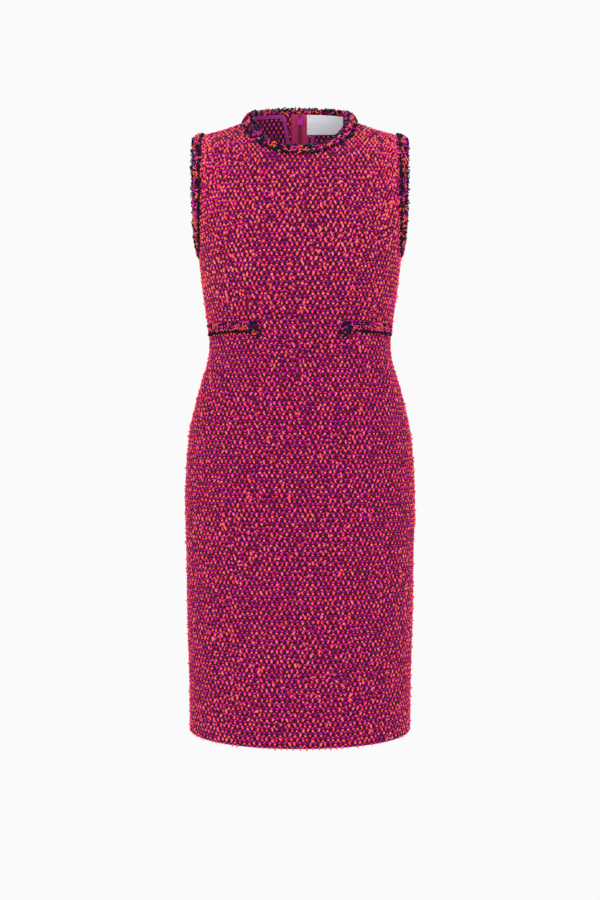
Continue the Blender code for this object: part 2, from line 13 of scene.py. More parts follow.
import bpy
import numpy as np
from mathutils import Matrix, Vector

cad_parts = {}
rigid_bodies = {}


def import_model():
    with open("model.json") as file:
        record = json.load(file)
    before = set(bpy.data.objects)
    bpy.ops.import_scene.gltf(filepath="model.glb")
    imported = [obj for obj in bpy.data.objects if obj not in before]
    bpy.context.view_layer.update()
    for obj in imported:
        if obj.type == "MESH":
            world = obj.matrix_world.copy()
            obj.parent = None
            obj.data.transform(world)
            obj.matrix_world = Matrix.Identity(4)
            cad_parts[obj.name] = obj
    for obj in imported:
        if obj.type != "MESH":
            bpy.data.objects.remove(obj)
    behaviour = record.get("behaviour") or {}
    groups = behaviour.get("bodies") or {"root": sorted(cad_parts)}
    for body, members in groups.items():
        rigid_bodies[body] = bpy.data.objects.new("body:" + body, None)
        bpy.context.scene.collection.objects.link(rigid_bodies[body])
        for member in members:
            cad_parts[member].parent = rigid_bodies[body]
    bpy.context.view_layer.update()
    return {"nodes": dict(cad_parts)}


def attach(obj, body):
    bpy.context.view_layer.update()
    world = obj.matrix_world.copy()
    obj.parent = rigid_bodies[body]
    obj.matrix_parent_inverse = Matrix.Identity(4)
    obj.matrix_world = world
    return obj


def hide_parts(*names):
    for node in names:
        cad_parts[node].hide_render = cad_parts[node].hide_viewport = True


# ---- the cloth's form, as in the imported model
WALL = 0.0026
SEAM_GAP = 0.0003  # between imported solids
SEWN_GAP = 0.00002  # between two thin shells at a seam
ZIP_GAP = 0.0020  # between the halves of the back along the zip
ZIP_END_HEIGHT = -0.4700
ROUNDNESS = 2.1  # superellipse exponent of every ring
HEM_DIP_FRONT = 0.0090
HEM_DIP_BACK = 0.0040
HEM_DIP_RISE = 0.150  # height over which the dip runs out
BUST_OUT = 0.078
BUST_HEIGHT = -0.240
BUST_FULLNESS = 0.006
BUST_WIDTH = 0.045
BUST_LENGTH = 0.055

# Rings that lie level: half the width, and depth to front and back.
Level = namedtuple("Level", "height half_width front back")
BODY = (
    Level(-0.9330, 0.1716, 0.1220, 0.1120),  # hem
    Level(-0.8600, 0.1724, 0.1225, 0.1140),
    Level(-0.7600, 0.1755, 0.1235, 0.1170),
    Level(-0.6600, 0.1770, 0.1240, 0.1210),
    Level(-0.5750, 0.1790, 0.1240, 0.1240),  # hips
    Level(-0.5240, 0.1770, 0.1230, 0.1225),
    Level(-0.4740, 0.1724, 0.1195, 0.1165),
    Level(-0.4240, 0.1615, 0.1135, 0.1065),
    Level(-0.3870, 0.1513, 0.1085, 0.1000),
    Level(-0.3620, 0.1438, 0.1060, 0.0965),
    Level(-0.3310, 0.1412, 0.1045, 0.0950),  # waist
    Level(-0.3000, 0.1451, 0.1080, 0.0960),
    Level(-0.2620, 0.1505, 0.1165, 0.0990),
    Level(-0.2370, 0.1537, 0.1205, 0.1015),  # bust
    Level(-0.2120, 0.1565, 0.1215, 0.1035),
    Level(-0.1910, 0.1585, 0.1205, 0.1045),  # underarm
    Level(-0.1700, 0.1680, 0.1175, 0.1055),
    Level(-0.1400, 0.1840, 0.1105, 0.1065),
    Level(-0.1050, 0.1970, 0.1000, 0.1065),
)
# Rings above them, which tilt: the ridge along the shoulder, then the front and back middle.
Tilted = namedtuple("Tilted", "ridge_height half_width front front_height back back_height bow")
YOKE = (
    Tilted(-0.0500, 0.1900, 0.0955, -0.0880, 0.1035, -0.0640, 2.0),
    Tilted(-0.0220, 0.1720, 0.0915, -0.0775, 0.0985, -0.0390, 2.0),
    Tilted(-0.0145, 0.1600, 0.0895, -0.0728, 0.0960, -0.0280, 2.0),  # shoulder tip
    Tilted(-0.0105, 0.1500, 0.0880, -0.0695, 0.0940, -0.0205, 1.9),
    Tilted(-0.0030, 0.1250, 0.0835, -0.0610, 0.0860, 0.0000, 1.6),
    Tilted(0.0065, 0.1000, 0.0775, -0.0522, 0.0730, 0.0200, 1.25),
    Tilted(0.0115, 0.0880, 0.0747, -0.0480, 0.0655, 0.0300, 1.1),
    Tilted(0.0190, 0.0795, 0.0725, -0.0446, 0.0600, 0.0380, 1.0),  # neck edge
)
UNDERARM_RING = 15
TIP_RING = len(BODY) + 2

# ---- soft creases: from one place to another, across from the centre and up from the underarm's row.
# bend bows the crease sideways at its middle. A trough has a depth below zero.
Crease = namedtuple("Crease", "across_low low across_high high bend width depth")
FRONT_CREASES = (
    Crease(-0.072, -0.268, -0.084, -0.062, 0.003, 0.0050, -0.0012),  # waist darts
    Crease(0.075, -0.255, 0.082, -0.070, -0.002, 0.0045, -0.0011),
    Crease(-0.165, -0.128, -0.092, -0.156, 0.004, 0.0055, -0.0010),  # drags from the waist's sides
    Crease(0.168, -0.118, 0.100, -0.150, -0.005, 0.0060, -0.0012),
    Crease(-0.160, -0.178, -0.115, -0.196, 0.003, 0.0070, 0.0009),
    Crease(0.165, -0.172, 0.125, -0.204, 0.004, 0.0060, 0.0008),
    Crease(-0.128, -0.715, -0.112, -0.420, 0.006, 0.0160, -0.0014),  # slack in the skirt
    Crease(-0.050, -0.745, -0.058, -0.560, -0.004, 0.0140, 0.0011),
    Crease(0.034, -0.742, 0.046, -0.610, 0.003, 0.0120, -0.0010),
    Crease(0.120, -0.705, 0.104, -0.465, -0.006, 0.0170, -0.0013),
    Crease(-0.140, -0.035, -0.105, 0.060, 0.006, 0.0080, -0.0011),  # from armhole to bust
    Crease(0.138, -0.028, 0.110, 0.052, -0.005, 0.0080, -0.0010),
)
BACK_CREASES = (
    Crease(-0.070, -0.262, -0.076, -0.050, 0.003, 0.0050, -0.0012),
    Crease(0.071, -0.270, 0.074, -0.058, -0.002, 0.0050, -0.0012),
    Crease(-0.165, -0.135, -0.085, -0.120, 0.006, 0.0080, -0.0014),
    Crease(0.166, -0.128, 0.095, -0.112, 0.005, 0.0080, -0.0013),
    Crease(-0.150, -0.160, -0.060, -0.152, -0.004, 0.0090, 0.0011),
    Crease(0.110, -0.690, 0.096, -0.440, 0.006, 0.0160, -0.0013),
    Crease(-0.118, -0.700, -0.102, -0.500, -0.005, 0.0150, -0.0012),
)

# ---- the weave
COLUMN_PITCH = 0.0076  # between slubs along a row
ROW_PITCH = 0.0072
SHELL_OUTER = 0.0009  # depth of the ground cloth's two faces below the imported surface
SHELL_INNER = 0.0025
SLUB_HALF = (0.0015, 0.0018, 0.0011)  # half length, width and height
SLUB_DEPTH = 0.0007  # of a slub's middle
WEFT_HALF = (0.0023, 0.0012, 0.0010)
WEFT_DEPTH = 0.0006
WEFT_RISE = 0.60  # of a row, above each slub
END_HALF = (0.0031, 0.0014, 0.0010)  # yarn ends along the hem and the side seams
WAIST_ALONG_UP = -0.14  # the waist's height up from the underarm's row
BODICE_BLEND = 0.08  # length above the waist over which the weave turns into the bodice's
EDGE_MARGIN = 0.0020  # no yarn stands closer to a side seam or an armhole
HEM_MARGIN = 0.0015
NECK_MARGIN = 0.0010
HEM_RADIUS = 0.15  # about the hem's, to space its yarn ends
SIDE_ENDS = 150

# ---- braids
BRAID_HALF_WIDTH = 0.0085
BRAID_BEYOND = 0.0065  # how far it reaches past the cloth's edge
BRAID_STEP = 0.0025
PATH_POINTS = 361
WAIST_HEIGHT = -0.3150
WAIST_BRAID_INNER_END = 0.0560
WAIST_PATH_SHORT = 0.0070  # from that end to the end of the braid's centre line
CURL_OUT = 0.0090  # from that end to the curl's centre
CURL_DROP = 0.0105
CURL_RADIUS = 0.0042
LOOP_SPACING = 0.0022
PATCH = 0.0040  # length over which loops are mostly of one yarn
# Lines of loops: how far across and high up a braid, and the shares of navy, plum and magenta yarn in
# each. The rest is coral. Of the navy ones, the highlight share is paler: a painted slate highlight.
Track = namedtuple("Track", "across high navy plum magenta slate", defaults=(0.08,))
NECK_TRACKS = (
    Track(-0.84, 0.25, 0.76, 0.12, 0.05),
    Track(-0.32, 0.60, 0.36, 0.14, 0.20),
    Track(0.26, 0.62, 0.30, 0.14, 0.24),
    # the inner edge, where more of the navy loops carry the painted slate highlight
    Track(0.82, 0.30, 0.88, 0.06, 0.03, 0.30),
    Track(0.50, -0.02, 0.36, 0.10, 0.22),  # two on the inside
    Track(0.95, 0.02, 0.60, 0.10, 0.14, 0.20),
)
ARMHOLE_TRACKS = (
    Track(-0.84, 0.25, 0.80, 0.12, 0.03),
    Track(-0.34, 0.60, 0.22, 0.26, 0.16),
    Track(0.18, 0.62, 0.18, 0.26, 0.18),
    Track(0.82, 0.30, 0.70, 0.18, 0.04),
)
WAIST_TRACKS = (
    # the lowest line is nearly all navy: navy yarn, and a painted shadow along the braid's lower edge
    Track(-0.84, 0.80, 0.98, 0.02, 0.00),
    Track(-0.36, 0.40, 0.10, 0.24, 0.24),
    Track(0.14, 0.40, 0.10, 0.24, 0.24),
    Track(0.66, 0.50, 0.46, 0.22, 0.12),
)
CURL_TRACKS = (Track(-0.50, 0.40, 0.55, 0.05, 0.15), Track(0.50, 0.50, 0.80, 0.05, 0.05))
# A braid's half width, thickness and place across the edge, and its loops' radii and lines.
Trim = namedtuple("Trim", "half_width thickness shift radii tracks")
EDGE_SHIFT = BRAID_BEYOND - BRAID_HALF_WIDTH
NECK_TRIM = Trim(BRAID_HALF_WIDTH, 0.0050, EDGE_SHIFT + 0.0006, (0.0016, 0.0026), NECK_TRACKS)
NECK_DROP = 0.0042  # how much lower the braid lies at the centre front
ARMHOLE_TRIM = Trim(BRAID_HALF_WIDTH, 0.0036, EDGE_SHIFT, (0.0014, 0.0023), ARMHOLE_TRACKS)
WAIST_TRIM = Trim(0.0078, 0.0024, -0.0008, (0.0013, 0.0021), WAIST_TRACKS)
CURL_TRIM = Trim(0.0026, 0.0030, 0.0, (0.0013, 0.0020), CURL_TRACKS)
WAIST_DARK_END = 0.0150  # length of the inner end that is nearly all navy
WAIST_THIN_END = 0.0300  # over this length a waist braid thins out to the side seam
WAIST_SUNK = 0.0018  # how deep its side end lies in the cloth
CORE_SIDES = 10
CORE_ROUGHNESS = 0.0004
YARN_TONES = np.array([0.10, 0.42, 0.62, 0.90])  # of navy, plum, magenta and coral loops
SLATE_HIGHLIGHT_TONE = 0.28

# ---- inside of the back
TAPE_THICKNESS = 0.0008
BINDING_THICKNESS = 0.0008
COIL_HALF_WIDTH = 0.0030
LABEL_INNER, LABEL_OUTER = 0.0117, 0.0710
LABEL_HEIGHT = 0.0275
LABEL_THICKNESS = 0.0007
SLIDER_HEIGHT = 0.0290
SLIDER_HALF_LENGTH = 0.0050
TOOTH_PITCH = 0.0014
TOOTH_HALF = (0.00062, 0.0008)  # half height and half thickness
PARTED_OUT = 0.0012  # from the centre to the middle of a parted row's teeth
PARTED_HALF = 0.0025
STITCH_HALF = (0.0013, 0.0003, 0.0002)
ALLOWANCE_OUT = 0.0151  # from the centre to the loose yarn of a seam allowance
ALLOWANCE_PITCH = 0.0075
ALLOWANCE_HALF = (0.0023, 0.0009, 0.0007)
BINDING_INNER = 0.0168
BINDING_WIDTH = 0.0058
BINDING_LEAN = 0.0078  # how much farther out its top is
BINDING_LEAN_LENGTH = 0.060
BINDING_TOP_DROP = 0.0030
TAPE_DEPTH = WALL + SEAM_GAP
COIL_DEPTH = TAPE_DEPTH + TAPE_THICKNESS + SEAM_GAP
LABEL_DEPTH = TAPE_DEPTH + 2 * SEAM_GAP + BINDING_THICKNESS

# ---- camera
CAMERA_DISTANCE = 2.2
CAMERA_HEIGHT = -0.5008
LENS = 56.4

# ---- backdrop: a floor, a curve up and a wall, all evenly bright
BRIGHTNESS = 0.956
FLOOR_HEIGHT = -1.40
BACKDROP_NEAR = -8.0
BACKDROP_FAR = 8.0
BACKDROP_TOP = 8.0
BACKDROP_HALF_WIDTH = 9.0
CURVE_RADIUS = 2.0
CURVE_STEPS = 16

# ---- lights, all turned to one place: name, place, size and power
LIT_PLACE = (0, 0, -0.45)
LIGHTS = (
    ("front_left", (-1.6, -2.5, -0.1), (1.6, 2.4), 34),
    ("front_right", (1.6, -2.5, -0.2), (1.6, 2.4), 31),
    ("above", (0, -0.6, 2.2), (2.5, 2.0), 9),
)

QUARTER = math.pi / 2
STRAIGHT = math.pi
FULL_TURN = 2 * math.pi
rng = np.random.default_rng(11)


# ---- the form


def run_lengths(points):
    """Lengths along a run of points, from its first one."""
    return np.concatenate([[0.0], np.cumsum(np.linalg.norm(np.diff(points, axis=0), axis=1))])


def hem_dip(height, deepest):
    rise = (height - BODY[0].height) / HEM_DIP_RISE
    return deepest * max(0.0, 1.0 - rise) ** 2


def ring_table():
    """Every ring as one row: side height, half width, front, its height, back, its height, bow."""
    rows = []
    for ring in BODY:
        front_height = ring.height - hem_dip(ring.height, HEM_DIP_FRONT)
        back_height = ring.height - hem_dip(ring.height, HEM_DIP_BACK)
        rows.append((ring.height, ring.half_width, ring.front, front_height, ring.back, back_height, 1.0))
    rows.extend(tuple(ring) for ring in YOKE)
    return np.array(rows)


TABLE = ring_table()
KNOTS = run_lengths(TABLE[:, :2])
SLOPES = np.gradient(TABLE, KNOTS, axis=0)
UNDERARM = KNOTS[UNDERARM_RING]
TIP = KNOTS[TIP_RING]
NECK = KNOTS[-1]


def ring_at(along):
    """The table's columns at a length along the side, on a smooth curve through the rings."""
    along = np.asarray(along, float)
    index = np.clip(np.searchsorted(KNOTS, along, side="right") - 1, 0, len(KNOTS) - 2)
    gap = (KNOTS[index + 1] - KNOTS[index])[..., None]
    share = (along - KNOTS[index])[..., None] / gap
    rest = 1.0 - share
    start, end = TABLE[index], TABLE[index + 1]
    leaving, arriving = SLOPES[index] * gap, SLOPES[index + 1] * gap
    bend = rest**2 * (1 + 2 * share) * start + share**2 * (1 + 2 * rest) * end
    return bend + rest**2 * share * leaving - share**2 * rest * arriving


def surface(angle, along):
    """Points on the outside of the cloth. Angle 0 is the centre front and a quarter turn the +X side."""
    angle, along = np.broadcast_arrays(np.asarray(angle, float), np.asarray(along, float))
    height, half_width, front, front_height, back, back_height, bow = np.moveaxis(ring_at(along), -1, 0)
    across, ahead = np.sin(angle), np.cos(angle)
    reach = np.sign(across) * np.abs(across) ** (2 / ROUNDNESS)
    depth = np.abs(ahead) ** (2 / ROUNDNESS)
    facing = ahead >= 0
    middle = np.where(facing, front_height, back_height)
    x = half_width * reach
    y = np.where(facing, -front, back) * depth
    z = height + (middle - height) * depth**bow
    bust = ((np.abs(x) - BUST_OUT) / BUST_WIDTH) ** 2 + ((z - BUST_HEIGHT) / BUST_LENGTH) ** 2
    y = y - np.where(facing, BUST_FULLNESS * depth * np.exp(-bust), 0.0)
    return np.stack([x, y, z], axis=-1)


def unit(vectors):
    return vectors / np.linalg.norm(vectors, axis=-1, keepdims=True)


def upwards(angle, along):
    step = 0.001
    return unit(surface(angle, along) - surface(angle, along - step))


def outwards(angle, along):
    turn = math.radians(0.5)
    sideways = surface(angle + turn, along) - surface(angle - turn, along)
    return unit(np.cross(sideways, upwards(angle, along)))


def axes_at(angle, along):
    """The ways up, across and out of the cloth."""
    up, out = upwards(angle, along), outwards(angle, along)
    return up, unit(np.cross(up, out)), out


def along_at(height):
    """Length along the side of the ring whose side is at this height."""
    return float(np.interp(height, TABLE[:, 0], KNOTS))


def along_at_back(height):
    """Length along the side of the ring whose centre back is at this height."""
    fine = np.linspace(0, NECK, 2000)
    return float(np.interp(height, ring_at(fine)[:, 5], fine))


def angle_at(out, along):
    """Angle, from the centre, at which a ring is this far out to the side."""
    half_width = ring_at(along)[..., 1]
    return np.arcsin(np.clip(out / half_width, 0, 1) ** (ROUNDNESS / 2))


def edge_angle(along):
    """Angle of a panel's side edge: a seam at a quarter turn, or the armhole, which cuts in."""
    share = np.clip((along - UNDERARM) / (TIP - UNDERARM), 0, 1)
    cut = TABLE[UNDERARM_RING, 1] * (1 - share) + TABLE[TIP_RING, 1] * share
    in_armhole = (along > UNDERARM) & (along < TIP)
    return np.where(in_armhole, angle_at(cut, along), QUARTER)


def relief(across, up, back):
    """How far the creases take the cloth out of its smooth form."""
    total = np.zeros(np.shape(across))
    for crease in BACK_CREASES if back else FRONT_CREASES:
        run = (crease.across_high - crease.across_low, crease.high - crease.low)
        length = math.hypot(*run)
        beside, above = across - crease.across_low, up - crease.low
        share = (beside * run[0] + above * run[1]) / length**2
        inside = np.clip(1 - (2 * share - 1) ** 2, 0, 1)
        aside = (beside * run[1] - above * run[0]) / length - crease.bend * inside
        total += crease.depth * np.exp(-((aside / crease.width) ** 2)) * np.sqrt(inside)
    return total


# ---- the weave's chart: how far across and up the cloth a place is


def turned(from_centre, back):
    """Angle on a ring from one measured off the centre front or the centre back."""
    return STRAIGHT - from_centre if back else from_centre


class Chart:
    """Lengths on one half of the front or back cloth, from its centre and from the underarm's row.

    Below the underarm a column keeps its distance from the centre along the rings. Above it,
    a column stays this far out to the side and is measured up the cloth.
    """

    ANGLES = 181
    LEVELS = 260
    UPPER_LEVELS = 160
    CLIMB_POINTS = 49

    def __init__(self, back):
        self.back = back
        self.turns = np.linspace(0, QUARTER, self.ANGLES)
        self.levels = np.linspace(0, UNDERARM, self.LEVELS)
        points = surface(turned(self.turns[None, :], back), self.levels[:, None])
        steps = np.linalg.norm(np.diff(points, axis=1), axis=2)
        self.across = np.concatenate([np.zeros((self.LEVELS, 1)), np.cumsum(steps, axis=1)], axis=1)
        self.up = run_lengths(points[:, 0])
        self.up -= self.up[-1]
        self.out_at_underarm = points[-1, :, 0]

    def climb(self, out, along):
        """Length up the cloth from the underarm's row, at a constant distance to the side."""
        share = np.linspace(0, 1, self.CLIMB_POINTS)
        levels = UNDERARM + (np.asarray(along) - UNDERARM)[..., None] * share
        angle = turned(angle_at(np.asarray(out)[..., None], levels), self.back)
        points = surface(angle, levels)
        return np.linalg.norm(np.diff(points, axis=-2), axis=-1).sum(axis=-1)

    def place(self, turn, along):
        """(across, up) of points at this turn from the centre."""
        turn, along = np.broadcast_arrays(np.asarray(turn, float), np.asarray(along, float))
        level = np.interp(along, self.levels, np.arange(self.LEVELS))
        low = np.clip(level.astype(int), 0, self.LEVELS - 2)
        share = level - low
        column = turn / QUARTER * (self.ANGLES - 1)
        left = np.clip(column.astype(int), 0, self.ANGLES - 2)
        beside = column - left
        table = self.across
        below = table[low, left] * (1 - beside) + table[low, left + 1] * beside
        above = table[low + 1, left] * (1 - beside) + table[low + 1, left + 1] * beside
        across = below * (1 - share) + above * share
        up = np.interp(along, self.levels, self.up)
        high = along > UNDERARM
        if high.any():
            out = np.abs(surface(turned(turn[high], self.back), along[high])[..., 0])
            across[high] = np.interp(out, self.out_at_underarm, table[-1])
            up[high] = self.climb(out, along[high])
        return across, up

    def column(self, across):
        """Places up one column, close together: turn, length along the side, and length up."""
        turns = np.array([np.interp(across, row, self.turns, right=np.nan) for row in self.across])
        if across > self.across[-1, -1]:
            return turns, self.levels, self.up
        out = float(np.interp(across, self.across[-1], self.out_at_underarm))
        upper = np.linspace(UNDERARM, NECK, self.UPPER_LEVELS)[1:]
        widths = ring_at(upper)[:, 1]
        if widths[-1] < out:  # the column ends at the shoulder's seam, where its steps are long
            seam = np.interp(out, widths[::-1], upper[::-1])
            upper = upper[widths > out]
            upper = np.append(upper, seam + (upper[-1] - seam) * np.linspace(0.9, 0, 10) ** 2)
        climbing = angle_at(out, upper)
        turn_up = turned(np.concatenate([turns[-1:], climbing]), self.back)
        points = surface(turn_up, np.concatenate([[UNDERARM], upper]))
        pairs = ((turns, climbing), (self.levels, upper), (self.up, run_lengths(points)[1:]))
        return tuple(np.concatenate(pair) for pair in pairs)

    def crossings(self, rise):
        """Every crossing of a column and a row whose numbers add up to an even one.

        rise moves the rows up. Returns the turn, length along, column and row of each.
        """
        found = []
        widest = self.across[:, -1].max()
        for column in range(int(2 * widest / COLUMN_PITCH) + 1):
            turn, along, up = self.column(column * COLUMN_PITCH / 2)
            real = np.isfinite(turn)
            first = math.ceil((up[real][0] - rise) / ROW_PITCH)
            last = math.floor((up[real][-1] - rise) / ROW_PITCH)
            for row in range(first, last + 1):
                if (row + column) % 2:
                    continue
                level = np.interp(row * ROW_PITCH + rise, up, along)
                found.append((np.interp(level, along, turn), level, column, row))
        return np.array([spot for spot in found if np.isfinite(spot[0])])


CHARTS = {False: Chart(False), True: Chart(True)}


# ---- meshes. Faces come as groups, each an array of faces with the same number of corners

BAKE_HALF = 0.49  # width of each face of a sheet in its baking map, with its rim between them
BAKE_RIM = (0.4925, 0.5075)
BAKE_TOP = 0.97  # height of a tube in its baking map, with its flat ends above


def volume(points, groups):
    total = 0.0
    for faces in groups:
        first = points[faces[:, 0]]
        for corner in range(1, faces.shape[1] - 1):
            second, third = points[faces[:, corner]], points[faces[:, corner + 1]]
            total += np.einsum("ij,ij->i", first, np.cross(second, third)).sum()
    return total


def add_mesh(name, points, groups, finish, uvs, tones=None):
    """A mesh object with its faces turned outwards. uvs holds one array of corners for each group."""
    if volume(points, groups) < 0:
        groups = [faces[:, ::-1] for faces in groups]
        uvs = {layer: [uv[:, ::-1] for uv in values] for layer, values in uvs.items()}
    mesh = bpy.data.meshes.new(name)
    corners = np.concatenate([faces.reshape(-1) for faces in groups]).astype(np.int32)
    sizes = np.concatenate([np.full(len(faces), faces.shape[1]) for faces in groups])
    starts = np.concatenate([[0], np.cumsum(sizes)[:-1]]).astype(np.int32)
    mesh.vertices.add(len(points))
    mesh.vertices.foreach_set("co", points.astype(np.float32).reshape(-1))
    mesh.loops.add(len(corners))
    mesh.loops.foreach_set("vertex_index", corners)
    mesh.polygons.add(len(sizes))
    mesh.polygons.foreach_set("loop_start", starts)
    mesh.polygons.foreach_set("use_smooth", np.ones(len(sizes), bool))
    mesh.update(calc_edges=True)
    for layer, values in uvs.items():
        flat = np.concatenate([uv.reshape(-1) for uv in values]).astype(np.float32)
        mesh.uv_layers.new(name=layer).data.foreach_set("uv", flat)
    if tones is not None:
        mesh.attributes.new("tone", "FLOAT", "POINT").data.foreach_set("value", tones.astype(np.float32))
    mesh.materials.append(finish)
    made = bpy.data.objects.new(name, mesh)
    bpy.context.scene.collection.objects.link(made)
    return made


def grid_faces(rows, columns, flipped=False):
    row, column = np.meshgrid(np.arange(rows - 1), np.arange(columns - 1), indexing="ij")
    start = (row * columns + column).reshape(-1)
    faces = np.stack([start, start + 1, start + columns + 1, start + columns], axis=1)
    return faces[:, ::-1] if flipped else faces


def rim_of(rows, columns):
    """Corners round the edge of a grid, in order."""
    grid = np.arange(rows * columns).reshape(rows, columns)
    return np.concatenate([grid[0], grid[1:, -1], grid[-1, -2::-1], grid[-2:0:-1, 0]])


def shell(name, outer, inner, weave, finish, inner_finish):
    """A closed sheet between two grids of points. weave holds each point's place in the chart."""
    rows, columns = outer.shape[:2]
    count = rows * columns
    points = np.concatenate([outer.reshape(-1, 3), inner.reshape(-1, 3)])
    front = grid_faces(rows, columns)
    back = grid_faces(rows, columns, flipped=True) + count
    rim = rim_of(rows, columns)
    following = np.roll(rim, -1)
    edge = np.stack([rim, rim + count, following + count, following], axis=1)
    faces = np.concatenate([front, back, edge])
    share = np.stack(np.meshgrid(np.linspace(0, 1, columns), np.linspace(0, 1, rows)), axis=-1)
    left = share.reshape(-1, 2) * (BAKE_HALF, 1.0)
    right = left + (1 - BAKE_HALF, 0)
    walk = np.linspace(0, 1, len(rim) + 1)
    low, high = (np.full(len(rim), edge) for edge in BAKE_RIM)
    before, after = walk[:-1], walk[1:]
    ends = ((low, before), (high, before), (high, after), (low, after))
    strip = np.stack([np.stack(pair, axis=1) for pair in ends], axis=1)
    bake = np.concatenate([left[front], right[back - count], strip])
    place = np.tile(weave.reshape(-1, 2), (2, 1))
    made = add_mesh(name, points, [faces], finish, {"weave": [place[faces]], "OFBake": [bake]})
    made.data.materials.append(inner_finish)
    slots = np.concatenate([np.zeros(len(front)), np.ones(len(back)), np.zeros(len(edge))])
    made.data.polygons.foreach_set("material_index", slots.astype(np.int32))
    return made


def tube(name, rings, closed, finish):
    """A tube through rings of corners, stations by corners, with flat ends unless it is closed."""
    stations, corners = rings.shape[:2]
    station, corner = np.meshgrid(np.arange(stations - (not closed)), np.arange(corners), indexing="ij")
    station, corner = station.reshape(-1), corner.reshape(-1)
    after, beside = (station + 1) % stations, (corner + 1) % corners
    ends = ((station, corner), (station, beside), (after, beside), (after, corner))
    faces = np.stack([row * corners + place for row, place in ends], axis=1)
    run = ((station, corner), (station, corner + 1), (station + 1, corner + 1), (station + 1, corner))
    uv = np.stack([np.stack([b / corners, a / stations * BAKE_TOP], axis=1) for a, b in run], axis=1)
    groups, uvs = [faces], [uv]
    if not closed:
        turn = np.arange(corners) * FULL_TURN / corners
        dot = 0.01 * np.stack([np.cos(turn), np.sin(turn)], axis=1)
        first = np.arange(corners)[::-1]
        groups.append(np.stack([first, np.arange(corners) + (stations - 1) * corners]))
        uvs.append(np.stack([dot[::-1] + (0.25, 0.985), dot + (0.75, 0.985)]))
    return add_mesh(name, rings.reshape(-1, 3), groups, finish, {"OFBake": uvs})


# ---- small forms, each placed many times in one mesh

Shape = namedtuple("Shape", "points faces uvs")
Spots = namedtuple("Spots", "place long_way cross_way out_way sizes tone bow dive")


def spots_at(place, long_way, cross_way, out_way, sizes, tone, bow=0.0, dive=0.0):
    """Where small forms stand. Each of the last three values may be one for all of them."""
    values = (np.broadcast_to(each, len(place)) for each in (tone, bow, dive))
    return Spots(place, long_way, cross_way, out_way, sizes, *values)


def ringed(rings, first, last):
    """A closed shape through rings of corners, with a point at each end."""
    stations, sides = rings.shape[:2]
    points = np.concatenate([[first], rings.reshape(-1, 3), [last]])
    level = np.linspace(0.06, 0.94, stations)
    end, final = len(points) - 1, 1 + (stations - 1) * sides
    triangles, quads, triangle_uvs, quad_uvs = [], [], [], []
    for side in range(sides):
        after = (side + 1) % sides
        left, right, middle = side / sides, (side + 1) / sides, (side + 0.5) / sides
        triangles.append((0, 1 + after, 1 + side))
        triangle_uvs.append(((middle, 0.0), (right, level[0]), (left, level[0])))
        triangles.append((end, final + side, final + after))
        triangle_uvs.append(((middle, 1.0), (left, level[-1]), (right, level[-1])))
        for ring in range(stations - 1):
            here, there = 1 + ring * sides, 1 + (ring + 1) * sides
            low, high = level[ring], level[ring + 1]
            quads.append((here + side, here + after, there + after, there + side))
            quad_uvs.append(((left, low), (right, low), (right, high), (left, high)))
    faces, uvs = [np.array(triangles)], [np.array(triangle_uvs)]
    if quads:
        faces.append(np.array(quads))
        uvs.append(np.array(quad_uvs))
    return Shape(points, faces, uvs)


def pod(stations, sides):
    """A rounded slub, 2 long along x and 2 across."""
    at = np.linspace(-1, 1, stations + 2)[1:-1] * 0.9
    fat = np.sqrt(1 - at**2)[:, None]
    turn = np.arange(sides)[None, :] * FULL_TURN / sides
    along = np.broadcast_to(at[:, None], (stations, sides))
    return ringed(np.stack([along, fat * np.cos(turn), fat * np.sin(turn)], axis=-1), (-1, 0, 0), (1, 0, 0))


def loop(segments, sides, thick):
    """An arc of yarn that stands up along z, from one foot to the other along x."""
    foot = math.radians(-40)
    turn = np.linspace(foot, STRAIGHT - foot, segments + 1)[:, None]
    round_yarn = (np.arange(sides) * FULL_TURN / sides)[None, :]
    radius = 1 + thick * np.cos(round_yarn)
    aside = np.broadcast_to(thick * np.sin(round_yarn), (segments + 1, sides))
    rings = np.stack([radius * np.cos(turn), aside, radius * np.sin(turn)], axis=-1)
    ends = [(math.cos(t), 0.0, math.sin(t) - thick) for t in (foot, STRAIGHT - foot)]
    return ringed(rings, *ends)


def scatter(name, shape, spots, finish):
    """Copies of one small shape as one mesh. bow bends each sideways and dive sinks its ends."""
    count, each = len(spots.place), len(shape.points)
    length, width, height = (spots.sizes[:, axis, None] for axis in range(3))
    along, across, raised = (shape.points[None, :, axis] for axis in range(3))
    arch = 1 - along**2
    across = across * width + arch * spots.bow[:, None] * width
    raised = raised * height - (1 - arch) * spots.dive[:, None] * height
    points = spots.place[:, None, :] + (along * length)[..., None] * spots.long_way[:, None, :]
    points = points + across[..., None] * spots.cross_way[:, None, :]
    points = points + raised[..., None] * spots.out_way[:, None, :]
    shift = (np.arange(count) * each)[:, None, None]
    per_row = math.ceil(math.sqrt(count))
    cell = np.stack([np.arange(count) % per_row, np.arange(count) // per_row], axis=1)
    margin = 0.04  # of a cell of the baking map
    groups, uvs = [], []
    for faces, uv in zip(shape.faces, shape.uvs):
        groups.append((faces[None] + shift).reshape(-1, faces.shape[1]))
        packed = (uv[None] * (1 - 2 * margin) + margin + cell[:, None, None, :]) / per_row
        uvs.append(packed.reshape(-1, faces.shape[1], 2))
    tones = np.repeat(spots.tone, each)
    return add_mesh(name, points.reshape(-1, 3), groups, finish, {"OFBake": uvs}, tones)


# ---- materials


